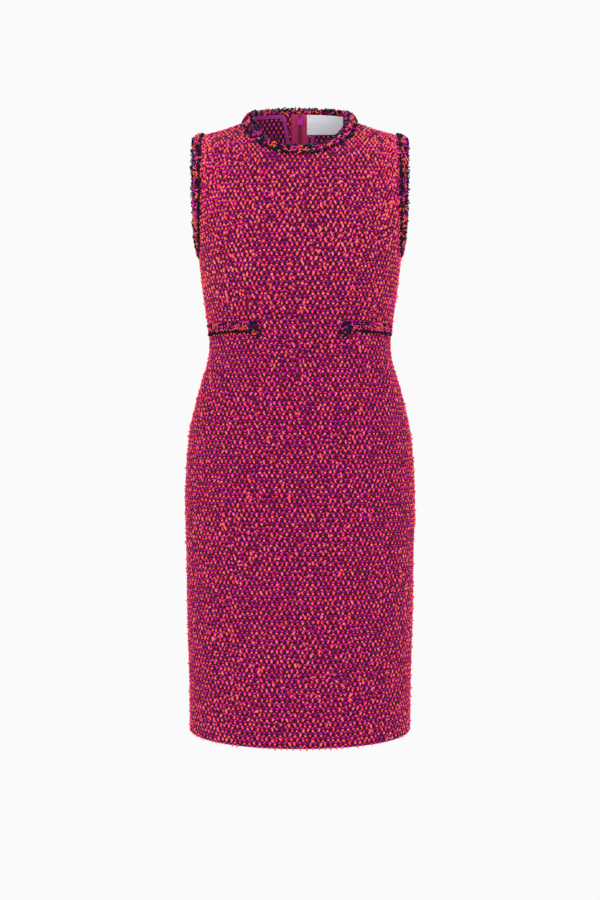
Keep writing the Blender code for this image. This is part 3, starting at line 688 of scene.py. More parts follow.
class Nodes:
    """A material's node tree, with short ways to add nodes and join them."""

    def __init__(self, name, roughness=0.9, **set_on_shader):
        self.material = bpy.data.materials.new(name)
        self.material.use_nodes = True
        self.tree = self.material.node_tree
        self.shader = self.tree.nodes["Principled BSDF"]
        self.shader.inputs["Roughness"].default_value = roughness
        for socket, value in set_on_shader.items():
            self.shader.inputs[socket.replace("_", " ").title().replace("Ior", "IOR")].default_value = value

    def put(self, target, value):
        if isinstance(value, bpy.types.NodeSocket):
            self.tree.links.new(value, target)
        else:
            target.default_value = value

    def add(self, kind, inputs=(), output=0, **properties):
        node = self.tree.nodes.new("ShaderNode" + kind)
        for key, value in properties.items():
            setattr(node, key, value)
        for key, value in dict(inputs).items():
            self.put(node.inputs[key], value)
        return node.outputs[output]

    def math(self, operation, *values, clamp=False):
        return self.add("Math", enumerate(values), operation=operation, use_clamp=clamp)

    def object_place(self):
        return self.add("TexCoord", output=3)

    def noise(self, scale, detail, roughness, vector, dimensions="3D", output=0):
        inputs = {"Vector": vector, "Scale": scale, "Detail": detail, "Roughness": roughness}
        return self.add("TexNoise", inputs, output, noise_dimensions=dimensions)

    def ramp(self, value, stops):
        node = self.tree.nodes.new("ShaderNodeValToRGB")
        marks = node.color_ramp.elements
        while len(marks) < len(stops):
            marks.new(0.5)
        for mark, (position, colour) in zip(marks, stops):
            mark.position = position
            mark.color = (*colour, 1.0)
        self.put(node.inputs[0], value)
        return node.outputs[0]

    def mix(self, share, first, second):
        node = self.tree.nodes.new("ShaderNodeMix")
        node.data_type = "RGBA"
        self.put(node.inputs["Factor"], share)
        for key, value in (("A", first), ("B", second)):
            socket = next(s for s in node.inputs if s.name == key and s.type == "RGBA")
            self.put(socket, (*value, 1.0) if isinstance(value, tuple) else value)
        return next(s for s in node.outputs if s.type == "RGBA")

    def span(self, value, low, high, to_low=0.0, to_high=1.0):
        inputs = {"Value": value, "From Min": low, "From Max": high, "To Min": to_low, "To Max": to_high}
        return self.add("MapRange", inputs, interpolation_type="SMOOTHSTEP")

    def parts(self, vector):
        """The x, y and z of a vector."""
        node = self.tree.nodes.new("ShaderNodeSeparateXYZ")
        self.put(node.inputs[0], vector)
        return node.outputs

    def finish(self, colour, height, distance, strength, **more):
        bump = self.add("Bump", {"Height": height, "Distance": distance, "Strength": strength})
        for socket, value in {"Base Color": colour, "Normal": bump, **more}.items():
            self.put(self.shader.inputs[socket], value)
        return self.material


CORAL = (0.98, 0.085, 0.045)
SALMON = (1.0, 0.185, 0.120)
RED = (0.66, 0.025, 0.035)
MAGENTA = (0.76, 0.0, 0.44)
PINK = (0.88, 0.012, 0.40)
PURPLE = (0.22, 0.002, 0.120)
PLUM = (0.045, 0.002, 0.020)
WINE = (0.25, 0.008, 0.050)
NAVY = (0.004, 0.003, 0.011)
# paler slate on navy yarn: a painted highlight
SLATE_HIGHLIGHT = (0.040, 0.080, 0.120)
INK = (0.006, 0.007, 0.018)
CORE_INK = (0.005, 0.006, 0.016)
REVERSE_PURPLE = (0.20, 0.004, 0.13)
REVERSE_PLUM = (0.045, 0.002, 0.035)
REVERSE_MAGENTA = (0.42, 0.006, 0.26)
REVERSE_CORAL = (1.0, 0.17, 0.075)
BINDING_PURPLE = (0.42, 0.022, 0.280)
TAPE_PINK = (0.56, 0.032, 0.150)
TOOTH_PINK = (0.30, 0.014, 0.070)
ENAMEL = (0.66, 0.034, 0.46)
SILVER = (0.90, 0.95, 1.0)
YARN = {"sheen_weight": 0.02, "sheen_roughness": 0.5, "specular_ior_level": 0.10}


def weave_place(n, stray_scale, stray):
    """Places in the weave's chart, and two waves on them that noise bends.

    The first wave is 1 on a slub and -1 on a hole. The second is 1 where the weft passes over.
    """
    place = n.add("UVMap", uv_map="weave")
    noise = n.noise(stray_scale, 2.0, 0.5, place, "2D", output=1)
    centred = n.add("VectorMath", {0: noise, 1: (0.5, 0.5, 0)}, operation="SUBTRACT")
    moved = n.add("VectorMath", {0: centred, 1: (*stray, 0)}, operation="MULTIPLY")
    u, v, _ = n.parts(n.add("VectorMath", {0: place, 1: moved}))
    round_u = n.math("COSINE", n.math("MULTIPLY", u, FULL_TURN))
    round_v = n.math("COSINE", n.math("MULTIPLY", v, STRAIGHT))
    beside_v = n.math("COSINE", n.math("MULTIPLY", n.math("SUBTRACT", v, WEFT_RISE), STRAIGHT))
    return place, n.math("MULTIPLY", round_u, round_v), n.math("MULTIPLY", round_u, beside_v)


def ground_material():
    """The cloth between the slubs: navy gaps that also carry painted shade, wine and plum threads, magenta
    weft.
    """
    n = Nodes("tweed_ground", roughness=0.95, **YARN)
    place, site, weft = weave_place(n, 1.1, (0.20, 0.16))
    hole = n.span(site, -0.32, -0.72)
    spot = n.span(weft, 0.52, 0.86)
    patch = n.noise(0.35, 2.0, 0.6, place, "2D")
    fine = n.noise(9.0, 3.0, 0.7, place, "2D")
    thread = n.mix(n.span(patch, 0.35, 0.65), WINE, PURPLE)
    thread = n.mix(n.span(fine, 0.25, 0.58), thread, PLUM)
    thread = n.mix(spot, thread, MAGENTA)
    # the holes are navy: the navy yarn there, with painted shade where the holes lie deep
    colour = n.mix(hole, thread, NAVY)
    height = n.math("SUBTRACT", n.math("ADD", n.math("MULTIPLY", fine, 0.3), spot), hole)
    return n.finish(colour, height, distance=0.0008, strength=0.8)


def reverse_material():
    """The inside of the cloth: purple, with staggered black dots and orange dashes between them."""
    n = Nodes("tweed_reverse", roughness=0.95, **YARN)
    place, site, weft = weave_place(n, 1.4, (0.16, 0.12))
    hole = n.span(site, -0.22, -0.55)
    dash = n.math("MULTIPLY", n.span(site, 0.12, 0.45), n.span(n.math("ABSOLUTE", weft), 0.50, 0.30))
    fine = n.noise(8.0, 3.0, 0.7, place, "2D")
    thread = n.mix(n.span(fine, 0.3, 0.7), REVERSE_PURPLE, REVERSE_PLUM)
    thread = n.mix(n.span(weft, 0.2, 0.8), thread, REVERSE_MAGENTA)
    shown = n.math("MULTIPLY", dash, n.span(n.noise(1.3, 1.0, 0.5, place, "2D"), 0.30, 0.42))
    colour = n.mix(hole, n.mix(shown, thread, REVERSE_CORAL), NAVY)
    height = n.math("SUBTRACT", n.math("ADD", n.math("MULTIPLY", fine, 0.4), shown), hole)
    return n.finish(colour, height, distance=0.0006, strength=0.8)


def yarn_material(name, stops, shade, cloudy=0.45):
    """Looped yarn whose colour goes with each piece's tone, with darker and lighter fibres."""
    n = Nodes(name, roughness=0.85, **YARN)
    tone = n.add("Attribute", attribute_name="tone", output=2)
    spot = n.object_place()
    fibre = n.noise(1400.0, 2.0, 0.6, spot)
    cloud = n.noise(330.0, 2.0, 0.6, spot)
    value = n.math("ADD", tone, n.math("MULTIPLY", n.math("SUBTRACT", cloud, 0.5), cloudy))
    colour = n.ramp(value, stops)
    shaded = n.mix(n.span(fibre, 0.30, 0.62), n.mix(0.40, colour, shade), colour)
    return n.finish(shaded, fibre, distance=0.0004, strength=0.6)


def slub_material():
    return yarn_material("coral_slub", [(0.0, WINE), (0.16, RED), (0.42, CORAL), (0.85, SALMON)], WINE)


def weft_material():
    stops = [(0.0, PLUM), (0.2, PURPLE), (0.42, MAGENTA), (0.9, PINK)]
    return yarn_material("magenta_weft", stops, WINE)


def loop_material():
    """Navy, plum, magenta and coral yarn, each at its own tones, and navy loops with a painted slate
    highlight.
    """
    stops = [(0.0, NAVY), (0.20, INK), (0.28, SLATE_HIGHLIGHT), (0.36, PLUM), (0.50, PURPLE)]
    stops += [(0.56, MAGENTA), (0.72, PINK), (0.78, RED), (0.84, CORAL), (1.0, SALMON)]
    return yarn_material("braid_loops", stops, NAVY, cloudy=0.08)


def core_material():
    """The dark inside of a braid, between its loops."""
    n = Nodes("braid_core", roughness=0.95, **YARN)
    spot = n.object_place()
    thread = n.noise(700.0, 3.0, 0.7, spot)
    colour = n.ramp(thread, [(0.0, NAVY), (0.54, CORE_INK), (0.70, PLUM), (0.82, WINE)])
    return n.finish(colour, thread, distance=0.001, strength=0.9)


def darker(colour, share):
    return tuple(value * share for value in colour)


def ribbed(name, colour, trough_shade, pitch, axis, roughness, level=0.3):
    """Woven tape with ribs square to one axis, and threads across them, with shade painted darker in the
    rib troughs.
    """
    n = Nodes(name, roughness=roughness, sheen_weight=0.05, specular_ior_level=level)
    spot = n.object_place()
    places = n.parts(spot)
    rib, thread = (
        n.math("SINE", n.math("MULTIPLY", places[way], FULL_TURN / pitch)) for way in (axis, 2 - axis)
    )
    cloud = n.noise(220.0, 3.0, 0.6, spot)
    weave = n.math("ADD", n.math("MULTIPLY", rib, 0.5), n.math("MULTIPLY", thread, 0.12))
    share = n.math("ADD", n.span(weave, -0.8, 0.8), n.math("SUBTRACT", cloud, 0.5), clamp=True)
    # darker where the ribs and threads dip: painted shade in the troughs, over uneven clouds
    return n.finish(n.mix(share, darker(colour, trough_shade), colour), weave, distance=0.0002, strength=0.6)


def tooth_material():
    n = Nodes("zip_teeth", roughness=0.4, specular_ior_level=0.4)
    cloud = n.noise(900.0, 2.0, 0.5, n.object_place())
    return n.finish(n.mix(cloud, darker(TOOTH_PINK, 0.6), TOOTH_PINK), cloud, distance=0.0001, strength=0.3)


def enamel_material():
    """Purple lacquer on cast metal, a little uneven, with tiny specks."""
    n = Nodes("slider_enamel", roughness=0.32, coat_weight=0.4, coat_roughness=0.2, metallic=0.1)
    spot = n.object_place()
    cast = n.noise(420.0, 2.0, 0.5, spot)
    speck = n.span(n.noise(2600.0, 1.0, 0.5, spot), 0.62, 0.72)
    colour = n.mix(n.span(cast, 0.3, 0.7), darker(ENAMEL, 0.75), ENAMEL)
    worn = n.span(cast, 0.35, 0.7, 0.28, 0.42)
    return n.finish(n.mix(speck, colour, PINK), cast, distance=0.00015, strength=0.3, Roughness=worn)


# ---- the cloth


def shell_rows():
    """Lengths along the side at which the shells have corners, closer at the ends of the armhole."""
    beside = UNDERARM + (TIP - UNDERARM) * (1 - np.cos(np.linspace(0, STRAIGHT, 31))) / 2
    return np.concatenate([np.linspace(0, UNDERARM, 111), beside[1:], np.linspace(TIP, NECK, 21)[1:]])


def cloth_shell(name, shares, back, finish, inner_finish):
    """The ground cloth of one panel. A back one is parted at the zip."""
    rows = shell_rows()[:, None]
    share = np.asarray(shares)[None, :]
    edge = edge_angle(rows)
    turn = np.abs(share) * edge
    sign = np.where(share < 0, -1.0, 1.0)
    angle = sign * turned(turn, back)
    middle = surface(angle, rows)
    out = outwards(angle, rows)
    out[..., 1] = np.where((np.abs(share) == 1) & (edge == QUARTER), 0.0, out[..., 1])
    out[..., 0] = np.where(share == 0, 0.0, out[..., 0])
    out = unit(out)
    middle[..., 1] += SEWN_GAP / 2 if back else -SEWN_GAP / 2
    if back:
        side = float(np.sign(shares[-1] + shares[0]))
        gap = np.where(middle[:, :1, 2] > ZIP_END_HEIGHT, ZIP_GAP, SEWN_GAP)
        middle[..., 0] += side * gap / 2 * (1 - np.abs(share))
    across, up = CHARTS[back].place(turn, np.broadcast_to(rows, turn.shape))
    across = sign * across
    middle = middle + relief(across, up, back)[..., None] * out
    weave = np.stack([across / COLUMN_PITCH, up / ROW_PITCH], axis=-1)
    outer, inner = middle - SHELL_OUTER * out, middle - SHELL_INNER * out
    return shell(name, outer, inner, weave, finish, inner_finish)


Crossings = namedtuple("Crossings", "angle along column row across up_cloth")


def crossings_on(back, rise):
    """Crossings on a whole front or back, inside its edges."""
    turn, along, column, row = CHARTS[back].crossings(rise).T
    inside = (along > HEM_MARGIN) & (along < NECK - NECK_MARGIN)
    inside &= turn < edge_angle(along) - EDGE_MARGIN / ring_at(along)[:, 1]
    if back:
        inside &= column > 0
    turn, along, column, row = (values[inside] for values in (turn, along, column, row))
    once = column > 0
    angle = turned(turn, back)
    angle, along = np.concatenate([angle, -angle[once]]), np.concatenate([along, along[once]])
    column, row = np.concatenate([column, -column[once]]), np.concatenate([row, row[once]])
    return Crossings(angle, along, column, row, column * COLUMN_PITCH / 2, row * ROW_PITCH + rise)


def chosen(values, keep):
    return type(values)(*(each[keep] for each in values))


def wave(row, across, seed):
    """Smooth uneven value from -1 to 1 along each row, different on each row."""
    scrambled = np.sin(row * 12.9898 + seed) * 43758.5453
    phase = (scrambled - np.floor(scrambled)) * FULL_TURN
    return 0.5 * np.sin(across * 0.45 + phase) + 0.5 * np.sin(across * 1.13 + 2.3 * phase + row)


def cloud(across, up, scale, seed):
    """Smooth uneven value, about -1 to 1, that changes over this length on the cloth."""
    total = 0.0
    for turn in range(5):
        heading = seed + 2.4 * turn
        line = across * math.cos(heading) + up * math.sin(heading)
        total = total + np.sin(line * (5.0 + turn) / scale + 3.7 * heading)
    return total / 2.2


def leaned(up, across, tilt):
    """Two ways at right angles, turned by an angle from up towards across."""
    cosine, sine = np.cos(tilt)[:, None], np.sin(tilt)[:, None]
    return up * cosine + across * sine, across * cosine - up * sine


def frames(spots, back):
    """Place, up, across and out of the cloth at crossings, on its creases."""
    place, up = surface(spots.angle, spots.along), upwards(spots.angle, spots.along)
    out = outwards(spots.angle, spots.along)
    # Over the shoulders the meridians turn to the neck, but the cloth's grain stays straight.
    grain = np.cross(out, (-1.0 if back else 1.0, 0.0, 0.0))
    grain_share = np.clip(2.5 * out[:, 2:], 0, 1)
    up = up * (1 - grain_share) + unit(grain) * grain_share
    place = place + relief(spots.across, spots.up_cloth, back)[:, None] * out
    across = unit(np.cross(up, out))
    return place, unit(up), across, out


def laid_out(back, rise, seed):
    """Crossings with their number, places and ways, brighter or duller bands, and the bodice's share."""
    spots = crossings_on(back, rise)
    band = wave(spots.row, spots.column, seed + back)
    bodice = np.clip((spots.up_cloth - WAIST_ALONG_UP) / BODICE_BLEND, 0, 1)
    return spots, len(spots.angle), frames(spots, back), band, bodice


def slub_spots(back):
    """Coral slubs: short and upright where the weave is even, longer and askew where it is jumbled."""
    spots, count, (place, up, across, out), band, bodice = laid_out(back, 0.0, 1.0)
    jumble = np.clip(0.65 + 0.6 * cloud(spots.across, spots.up_cloth, 0.16, 2.0 + back), 0.2, 1)
    lying = np.clip(out[:, 2], 0, 1)  # over the shoulder the yarns are drawn out up the cloth
    fullness = 1.15 + 0.13 * bodice + 0.15 * band + rng.normal(0, 0.10, count)
    reaching = rng.random(count) < 0.14 + 0.42 * jumble  # long ones that lean to the next crossing
    paired = np.where((spots.column // 2 + spots.row) % 2 < 1, 1.0, -1.0)
    toward = np.where(rng.random(count) < 0.5 + 0.22 * np.sign(spots.across), 1.0, -1.0)
    toward = np.where(rng.random(count) < 0.5, paired, toward)
    slope = math.atan2(COLUMN_PITCH / 2, ROW_PITCH)
    tilt = rng.normal(0, 1, count) * (0.25 + 0.50 * jumble)
    tilt = np.where(reaching, toward * slope + 0.3 * tilt, tilt + 0.14 * np.sign(spots.across))
    tilt = tilt * (1 - 0.5 * lying)
    long_way, cross_way = leaned(up, across, tilt)
    stray = rng.normal(0, 1, (2, count, 1)) * (0.0002 + 0.0006 * jumble)[None, :, None]
    place = place + up * stray[0] + across * stray[1] - out * SLUB_DEPTH
    place = place + long_way * np.where(reaching, 0.0018, 0.0)[:, None]
    fullness = np.where(rng.random(count) < 0.05, 0.62, np.clip(fullness, 0.6, 1.5))  # a few are thin
    stretch = np.where(reaching, 2.0, 1.05) * rng.uniform(0.8, 1.25, count) * (1 + 0.5 * lying**2)
    slim = np.where(reaching, 0.70, 0.95) * rng.uniform(0.85, 1.15, count) * (1 - 0.25 * lying)
    half = (SLUB_HALF[0] * stretch, SLUB_HALF[1] * slim, SLUB_HALF[2] * np.ones(count))
    sizes = np.stack(half, axis=1) * fullness[:, None]
    tone = np.clip(0.50 + 0.12 * band + 0.10 * bodice + rng.normal(0, 0.17, count), 0.02, 1.0)
    bow = rng.normal(0, 0.45, count)
    placed = spots_at(place, long_way, cross_way, out, sizes, tone, bow, dive=0.5)
    kept = rng.random(count) > 0.30 * lying**2  # fewer over the shoulder, where each is longer
    return chosen(spots, kept), chosen(placed, kept)


def weft_spots(back):
    """Magenta weft where it passes over, above each slub."""
    rise = WEFT_RISE * ROW_PITCH
    spots, count, (place, up, across, out), band, bodice = laid_out(back, rise, 5.0)
    fullness = np.clip(1.06 - 0.10 * bodice + 0.16 * band + rng.normal(0, 0.12, count), 0.5, 1.5)
    long_way, cross_way = leaned(up, across, rng.normal(0, 0.25, count) + QUARTER)
    stray = rng.normal(0, 0.0004, (2, count, 1))
    place = place + up * stray[0] + across * stray[1] - out * WEFT_DEPTH
    sizes = np.array(WEFT_HALF)[None, :] * fullness[:, None] * rng.uniform(0.8, 1.2, (count, 3))
    tone = np.clip(0.48 + 0.18 * band + rng.normal(0, 0.15, count), 0.05, 1.0)
    return spots, spots_at(place, long_way, cross_way, out, sizes, tone)


def end_spots():
    """Coral yarn ends that hang below the hem and stand out of the side seams."""
    hem = np.arange(-STRAIGHT, STRAIGHT, COLUMN_PITCH / HEM_RADIUS)
    hem = hem[rng.random(len(hem)) < 0.80]
    sides = rng.uniform(0.004, UNDERARM - 0.01, SIDE_ENDS)
    side = np.where(rng.random(len(sides)) < 0.5, QUARTER, -QUARTER)
    angle = np.concatenate([hem, side + rng.normal(0, 0.010, len(sides))])
    along = np.concatenate([np.full(len(hem), 0.0002), sides])
    place, (up, across, out) = surface(angle, along), axes_at(angle, along)
    at_hem = (np.arange(len(angle)) < len(hem))[:, None]
    lean = rng.normal(0, 0.35, (2, len(angle), 1))
    long_way = unit(np.where(at_hem, -up + lean[0] * across + 0.25 * out, out + lean[0] * up))
    cross_way = unit(np.cross(long_way, np.where(at_hem, out, across)))
    place = place - out * np.where(at_hem, SHELL_OUTER, 0.0003) + lean[1] * 0.0004 * up
    sizes = np.array(END_HALF)[None, :] * rng.uniform(0.6, 1.25, (len(angle), 1))
    tone = rng.uniform(0.35, 0.75, len(angle))
    return spots_at(place, long_way, cross_way, unit(np.cross(cross_way, long_way)), sizes, tone)


def worn(piece, slot, node=None):
    """Fixes a piece to the dress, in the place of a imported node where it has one."""
    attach(piece, "dress")
    if node:
        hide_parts(node)


def sheet_of(cloth, node, yarns):
    """Fixes one panel's ground cloth to the dress, with the yarns that lie on it."""
    worn(cloth, "tweed", node)
    for yarn in yarns:
        worn(yarn, "tweed")


def make_cloth(nodes):
    ground, reverse = ground_material(), reverse_material()
    binding = ribbed("satin_binding", BINDING_PURPLE, 0.72, 0.0009, 2, 0.45, 0.5)
    refinish(nodes["neck_binding"], binding)
    coral, magenta = slub_material(), weft_material()
    slub, spot = pod(3, 5), pod(1, 5)
    places, slubs = slub_spots(False)
    above = places.up_cloth > WAIST_ALONG_UP
    yarns = [
        scatter("front_slubs_bodice", slub, chosen(slubs, above), coral),
        scatter("front_slubs_skirt", slub, chosen(slubs, ~above), coral),
        scatter("front_weft", spot, weft_spots(False)[1], magenta),
        scatter("edge_yarn_ends", pod(2, 4), end_spots(), coral),
    ]
    front = cloth_shell("front_cloth", np.linspace(-1, 1, 97), False, ground, reverse)
    sheet_of(front, "front_panel", yarns)
    back_slubs, back_weft = slub_spots(True), weft_spots(True)
    for side, word in ((-1, "left"), (1, "right")):
        shares = side * np.linspace(0, 1, 49)
        back = cloth_shell(f"back_cloth_{word}", shares[::side], True, ground, reverse)
        yarns = []
        for stem, shape, (spots, placed), finish in (
            ("back_slubs", slub, back_slubs, coral),
            ("back_weft", spot, back_weft, magenta),
        ):
            mine = np.sign(spots.angle) == side
            yarns.append(scatter(f"{stem}_{word}", shape, chosen(placed, mine), finish))
        yarns.append(scatter(f"allowance_yarn_{word}", pod(2, 4), allowance_spots(side), coral))
        extra = [binding_strip(side, binding)] + ([nodes["neck_binding"]] if side < 0 else [])
        sheet_of(back, f"back_panel_{word}", yarns)


# ---- braids

Path = namedtuple("Path", "points up out closed")


def spaced(points, up, out, closed):
    """A path read off its fine points at even steps."""
    run = np.concatenate([points, points[:1]]) if closed else points
    lengths = run_lengths(run)
    wanted = np.linspace(0, lengths[-1], round(lengths[-1] / BRAID_STEP) + 1)
    if closed:
        wanted = wanted[:-1]
    index = np.clip(np.searchsorted(lengths, wanted, side="right") - 1, 0, len(run) - 2)
    share = ((wanted - lengths[index]) / (lengths[index + 1] - lengths[index]))[:, None]
    following = (index + 1) % len(points)
    points, up, out = (each[index] * (1 - share) + each[following] * share for each in (points, up, out))
    return Path(points, unit(up), unit(out), closed)


def run_of(path):
    if path.closed:
        return unit(np.roll(path.points, -1, axis=0) - np.roll(path.points, 1, axis=0))
    return unit(np.gradient(path.points, axis=0))


def neck_path():
    opening = float(angle_at(SEAM_GAP, NECK))
    angle = np.linspace(-STRAIGHT + opening, STRAIGHT - opening, 2 * PATH_POINTS)
    points, up = surface(angle, NECK), upwards(angle, NECK)
    points = points - up * NECK_DROP * np.clip(np.cos(angle), 0, 1)[:, None] ** 2
    return spaced(points, up, outwards(angle, NECK), False)


def armhole_path(side):
    share = (1 - np.cos(np.linspace(0, STRAIGHT, PATH_POINTS))) / 2
    along = UNDERARM + (TIP - UNDERARM) * share
    front_angle = edge_angle(along)
    angle = np.concatenate([front_angle, (STRAIGHT - front_angle[::-1])[1:-1]])
    along = np.concatenate([along, along[::-1][1:-1]])
    edge, out = surface(angle, along), outwards(angle, along)
    run = np.roll(edge, -1, axis=0) - np.roll(edge, 1, axis=0)
    into = unit(np.cross(run, out))
    into *= np.sign((into * (edge.mean(axis=0) - edge)).sum(axis=1))[:, None]
    mirror = np.array([side, 1, 1])
    return spaced(edge * mirror, into * mirror, out * mirror, True)


def waist_path(side):
    along = along_at(WAIST_HEIGHT)
    end = float(angle_at(WAIST_BRAID_INNER_END + WAIST_PATH_SHORT, along))
    angle = np.linspace(QUARTER - math.radians(0.3), end, PATH_POINTS)
    mirror = np.array([side, 1, 1])
    parts = (surface(angle, along), upwards(angle, along), outwards(angle, along))
    return spaced(*(each * mirror for each in parts), False)


def curl_path(side):
    """A small ring below the inner end of a waist braid."""
    along = along_at(WAIST_HEIGHT)
    angle = float(angle_at(WAIST_BRAID_INNER_END + CURL_OUT, along))
    mirror = np.array([side, 1, 1])
    middle, up, out = (each(angle, along) * mirror for each in (surface, upwards, outwards))
    turn = np.linspace(0, FULL_TURN, 60)[:-1, None]
    round_way = unit(np.cross(up, out)) * np.cos(turn) + up * np.sin(turn)
    points = middle - CURL_DROP * up + CURL_RADIUS * round_way
    return spaced(points, round_way, np.broadcast_to(out, round_way.shape), True)


def thinning(path, trim):
    """Share of a braid's thickness at each of its places."""
    if trim is not WAIST_TRIM:
        return np.ones(len(path.points))
    return np.clip(np.arange(len(path.points)) * BRAID_STEP / WAIST_THIN_END, 0, 1)


def core_rings(path, trim):
    """Rings of a braid's core: an ellipse with a flat foot on the cloth."""
    turn = np.arange(CORE_SIDES) * FULL_TURN / CORE_SIDES
    across = 0.86 * trim.half_width * np.cos(turn)
    high = np.maximum(trim.thickness * (0.28 + 0.40 * np.sin(turn)), -0.0004)
    thin = thinning(path, trim)[:, None]
    high = high[None, :] * thin - WAIST_SUNK * (1 - thin)
    high = high + CORE_ROUGHNESS * rng.normal(0, 1, high.shape)
    aside = (across + trim.shift)[None, :, None] * path.up[:, None, :]
    return path.points[:, None, :] + aside + high[..., None] * path.out[:, None, :]


def yarns_of(track, along, patches, dark):
    """Tones of the loops in one line: mostly one yarn over a patch, navy where dark."""
    draw = patches[(along / PATCH).astype(int)]
    draw = np.where(rng.random(len(along)) < 0.5, rng.random(len(along)), draw)
    draw = np.where(dark, 0.4 * draw, draw)
    yarn = np.searchsorted(np.cumsum([track.navy, track.plum, track.magenta]), draw, side="right")
    tone = YARN_TONES[yarn] + rng.uniform(-0.06, 0.06, len(along))
    # some navy loops take the paler slate tone: a painted highlight
    return np.where((yarn == 0) & (rng.random(len(along)) < track.slate), SLATE_HIGHLIGHT_TONE, tone)


def loop_spots(path, trim):
    """Loops of yarn along a braid, in lines across it."""
    length = len(path.points) * BRAID_STEP
    found = []
    for track in trim.tracks:
        along = np.arange(0.3, length / LOOP_SPACING) * LOOP_SPACING
        along = np.clip(along + rng.uniform(-0.5, 0.5, len(along)) * LOOP_SPACING, 0, length - BRAID_STEP)
        dark = (along > length - WAIST_DARK_END) & (trim is WAIST_TRIM)
        tone = yarns_of(track, along, rng.random(int(length / PATCH) + 2), dark)
        across = (track.across + rng.normal(0, 0.10, len(along))) * trim.half_width + trim.shift
        high = track.high * trim.thickness + rng.normal(0, 0.0003, len(along))
        lane = np.full(len(along), track.across)
        side = np.full(len(along), 1.0 if track.high > 0.1 else -1.0)
        index = np.clip((along / BRAID_STEP).astype(int), 0, len(path.points) - 1)
        found.append(np.stack([index, across, high, tone, lane, side], axis=1))
    index, across, high, tone, lane, side = np.concatenate(found).T
    index, count = index.astype(int), len(index)
    thin = thinning(path, trim)[index]
    high = high * thin - WAIST_SUNK * (1 - thin)
    up, out, run = path.up[index], path.out[index], run_of(path)[index]
    place = path.points[index] + across[:, None] * up + high[:, None] * out
    long_way, cross_way = leaned(run, up, rng.uniform(0, STRAIGHT, count))
    roll = rng.normal(0, 0.5, count)[:, None]
    out_way = side[:, None] * out * np.cos(roll) + cross_way * np.sin(roll) + 0.55 * lane[:, None] * up
    out_way = unit(out_way)
    cross_way = unit(np.cross(out_way, long_way))
    out_way = unit(np.cross(long_way, cross_way))
    radius = rng.uniform(*trim.radii, count)
    standing = radius * (0.5 + 0.5 * thin)
    sizes = np.stack([radius * rng.uniform(0.8, 1.3, count), radius, standing], axis=1)
    return spots_at(place, long_way, cross_way, out_way, sizes, tone)


def make_braid(name, node, path, trim, core, yarn):
    worn(tube(f"{name}_core", core_rings(path, trim), path.closed, core), "braid", node)
    worn(scatter(f"{name}_loops", loop(5, 4, 0.42), loop_spots(path, trim), yarn), "braid")


def make_braids():
    core, yarn = core_material(), loop_material()
    make_braid("neck_braid", "neck_braid", neck_path(), NECK_TRIM, core, yarn)
    for side, word in ((-1, "left"), (1, "right")):
        node = f"armhole_braid_{word}"
        make_braid(node, node, armhole_path(side), ARMHOLE_TRIM, core, yarn)
        node = f"waist_braid_{word}"
        make_braid(node, node, waist_path(side), WAIST_TRIM, core, yarn)
        make_braid(f"waist_curl_{word}", node, curl_path(side), CURL_TRIM, core, yarn)


# ---- inside of the back


def back_point(out, along, depth, side=1):
    """Points under the back cloth, this far from its centre."""
    out, along = np.broadcast_arrays(out, along)
    angle = side * (STRAIGHT - angle_at(np.abs(out), along))
    points = surface(angle, along) - np.asarray(depth)[..., None] * outwards(angle, along)
    points[..., 1] += SEAM_GAP / 2
    return points


def tooth_spots():
    """Zip teeth across both tapes up to the slider, and parted rows above it."""
    low = along_at_back(ZIP_END_HEIGHT)
    shut = np.arange(low, along_at_back(SLIDER_HEIGHT - SLIDER_HALF_LENGTH), TOOTH_PITCH)
    parted = np.arange(along_at_back(SLIDER_HEIGHT + SLIDER_HALF_LENGTH), NECK - 0.002, TOOTH_PITCH)
    along = np.concatenate([shut, parted, parted])
    out = np.repeat([0.0, -PARTED_OUT, PARTED_OUT], [len(shut), len(parted), len(parted)])
    half = np.where(out == 0, COIL_HALF_WIDTH * 1.15, PARTED_HALF)
    place = back_point(out, along, COIL_DEPTH + 0.0006)
    place[:, 0] = out
    up, away = upwards(STRAIGHT, along), outwards(STRAIGHT, along)
    across = np.broadcast_to([1.0, 0.0, 0.0], up.shape)
    sizes = np.stack(np.broadcast_arrays(half, *TOOTH_HALF), axis=1)
    return spots_at(place, across, up, away, sizes, tone=0.5)


def stitch_spots():
    """Small pink stitches that hold the label's corners."""
    found = []
    drop = LABEL_HEIGHT - 0.0025
    for out, down in ((0.0030, 0.0020), (0.0050, 0.0035), (0.0034, 0.0050), (0.0020, drop), (0.0045, drop)):
        for edge in (LABEL_INNER + out, LABEL_OUTER - out):
            found.append((edge, NECK - down))
    out, along = np.array(found).T
    angle = STRAIGHT - angle_at(out, along)
    place = back_point(out, along, LABEL_DEPTH + LABEL_THICKNESS + 0.0001)
    up, across, away = axes_at(angle, along)
    long_way, cross_way = leaned(up, across, rng.uniform(0, STRAIGHT, len(out)))
    sizes = np.tile(STITCH_HALF, (len(out), 1))
    return spots_at(place, long_way, cross_way, away, sizes, tone=0.55)


def binding_strip(side, finish):
    """The bound edge of a centre-back seam allowance, which leans out towards the neck."""
    along = np.linspace(along_at_back(ZIP_END_HEIGHT), NECK - BINDING_TOP_DROP, 90)[:, None]
    lean = np.clip((along - along[-1] + BINDING_LEAN_LENGTH) / BINDING_LEAN_LENGTH, 0, 1) ** 1.5
    share = np.linspace(0, 1, 6)[None, :]
    out = BINDING_INNER + BINDING_LEAN * lean + BINDING_WIDTH * share
    crown = 0.0003 * np.sin(STRAIGHT * share)
    faces = [back_point(out, along, TAPE_DEPTH + depth + crown, side) for depth in (0, BINDING_THICKNESS)]
    weave = np.stack(np.broadcast_arrays(out, along), axis=-1)
    word = "left" if side < 0 else "right"
    strip = shell(f"binding_{word}", faces[1], faces[0], weave, finish, finish)
    worn(strip, "binding", f"seam_binding_{word}")
    return strip


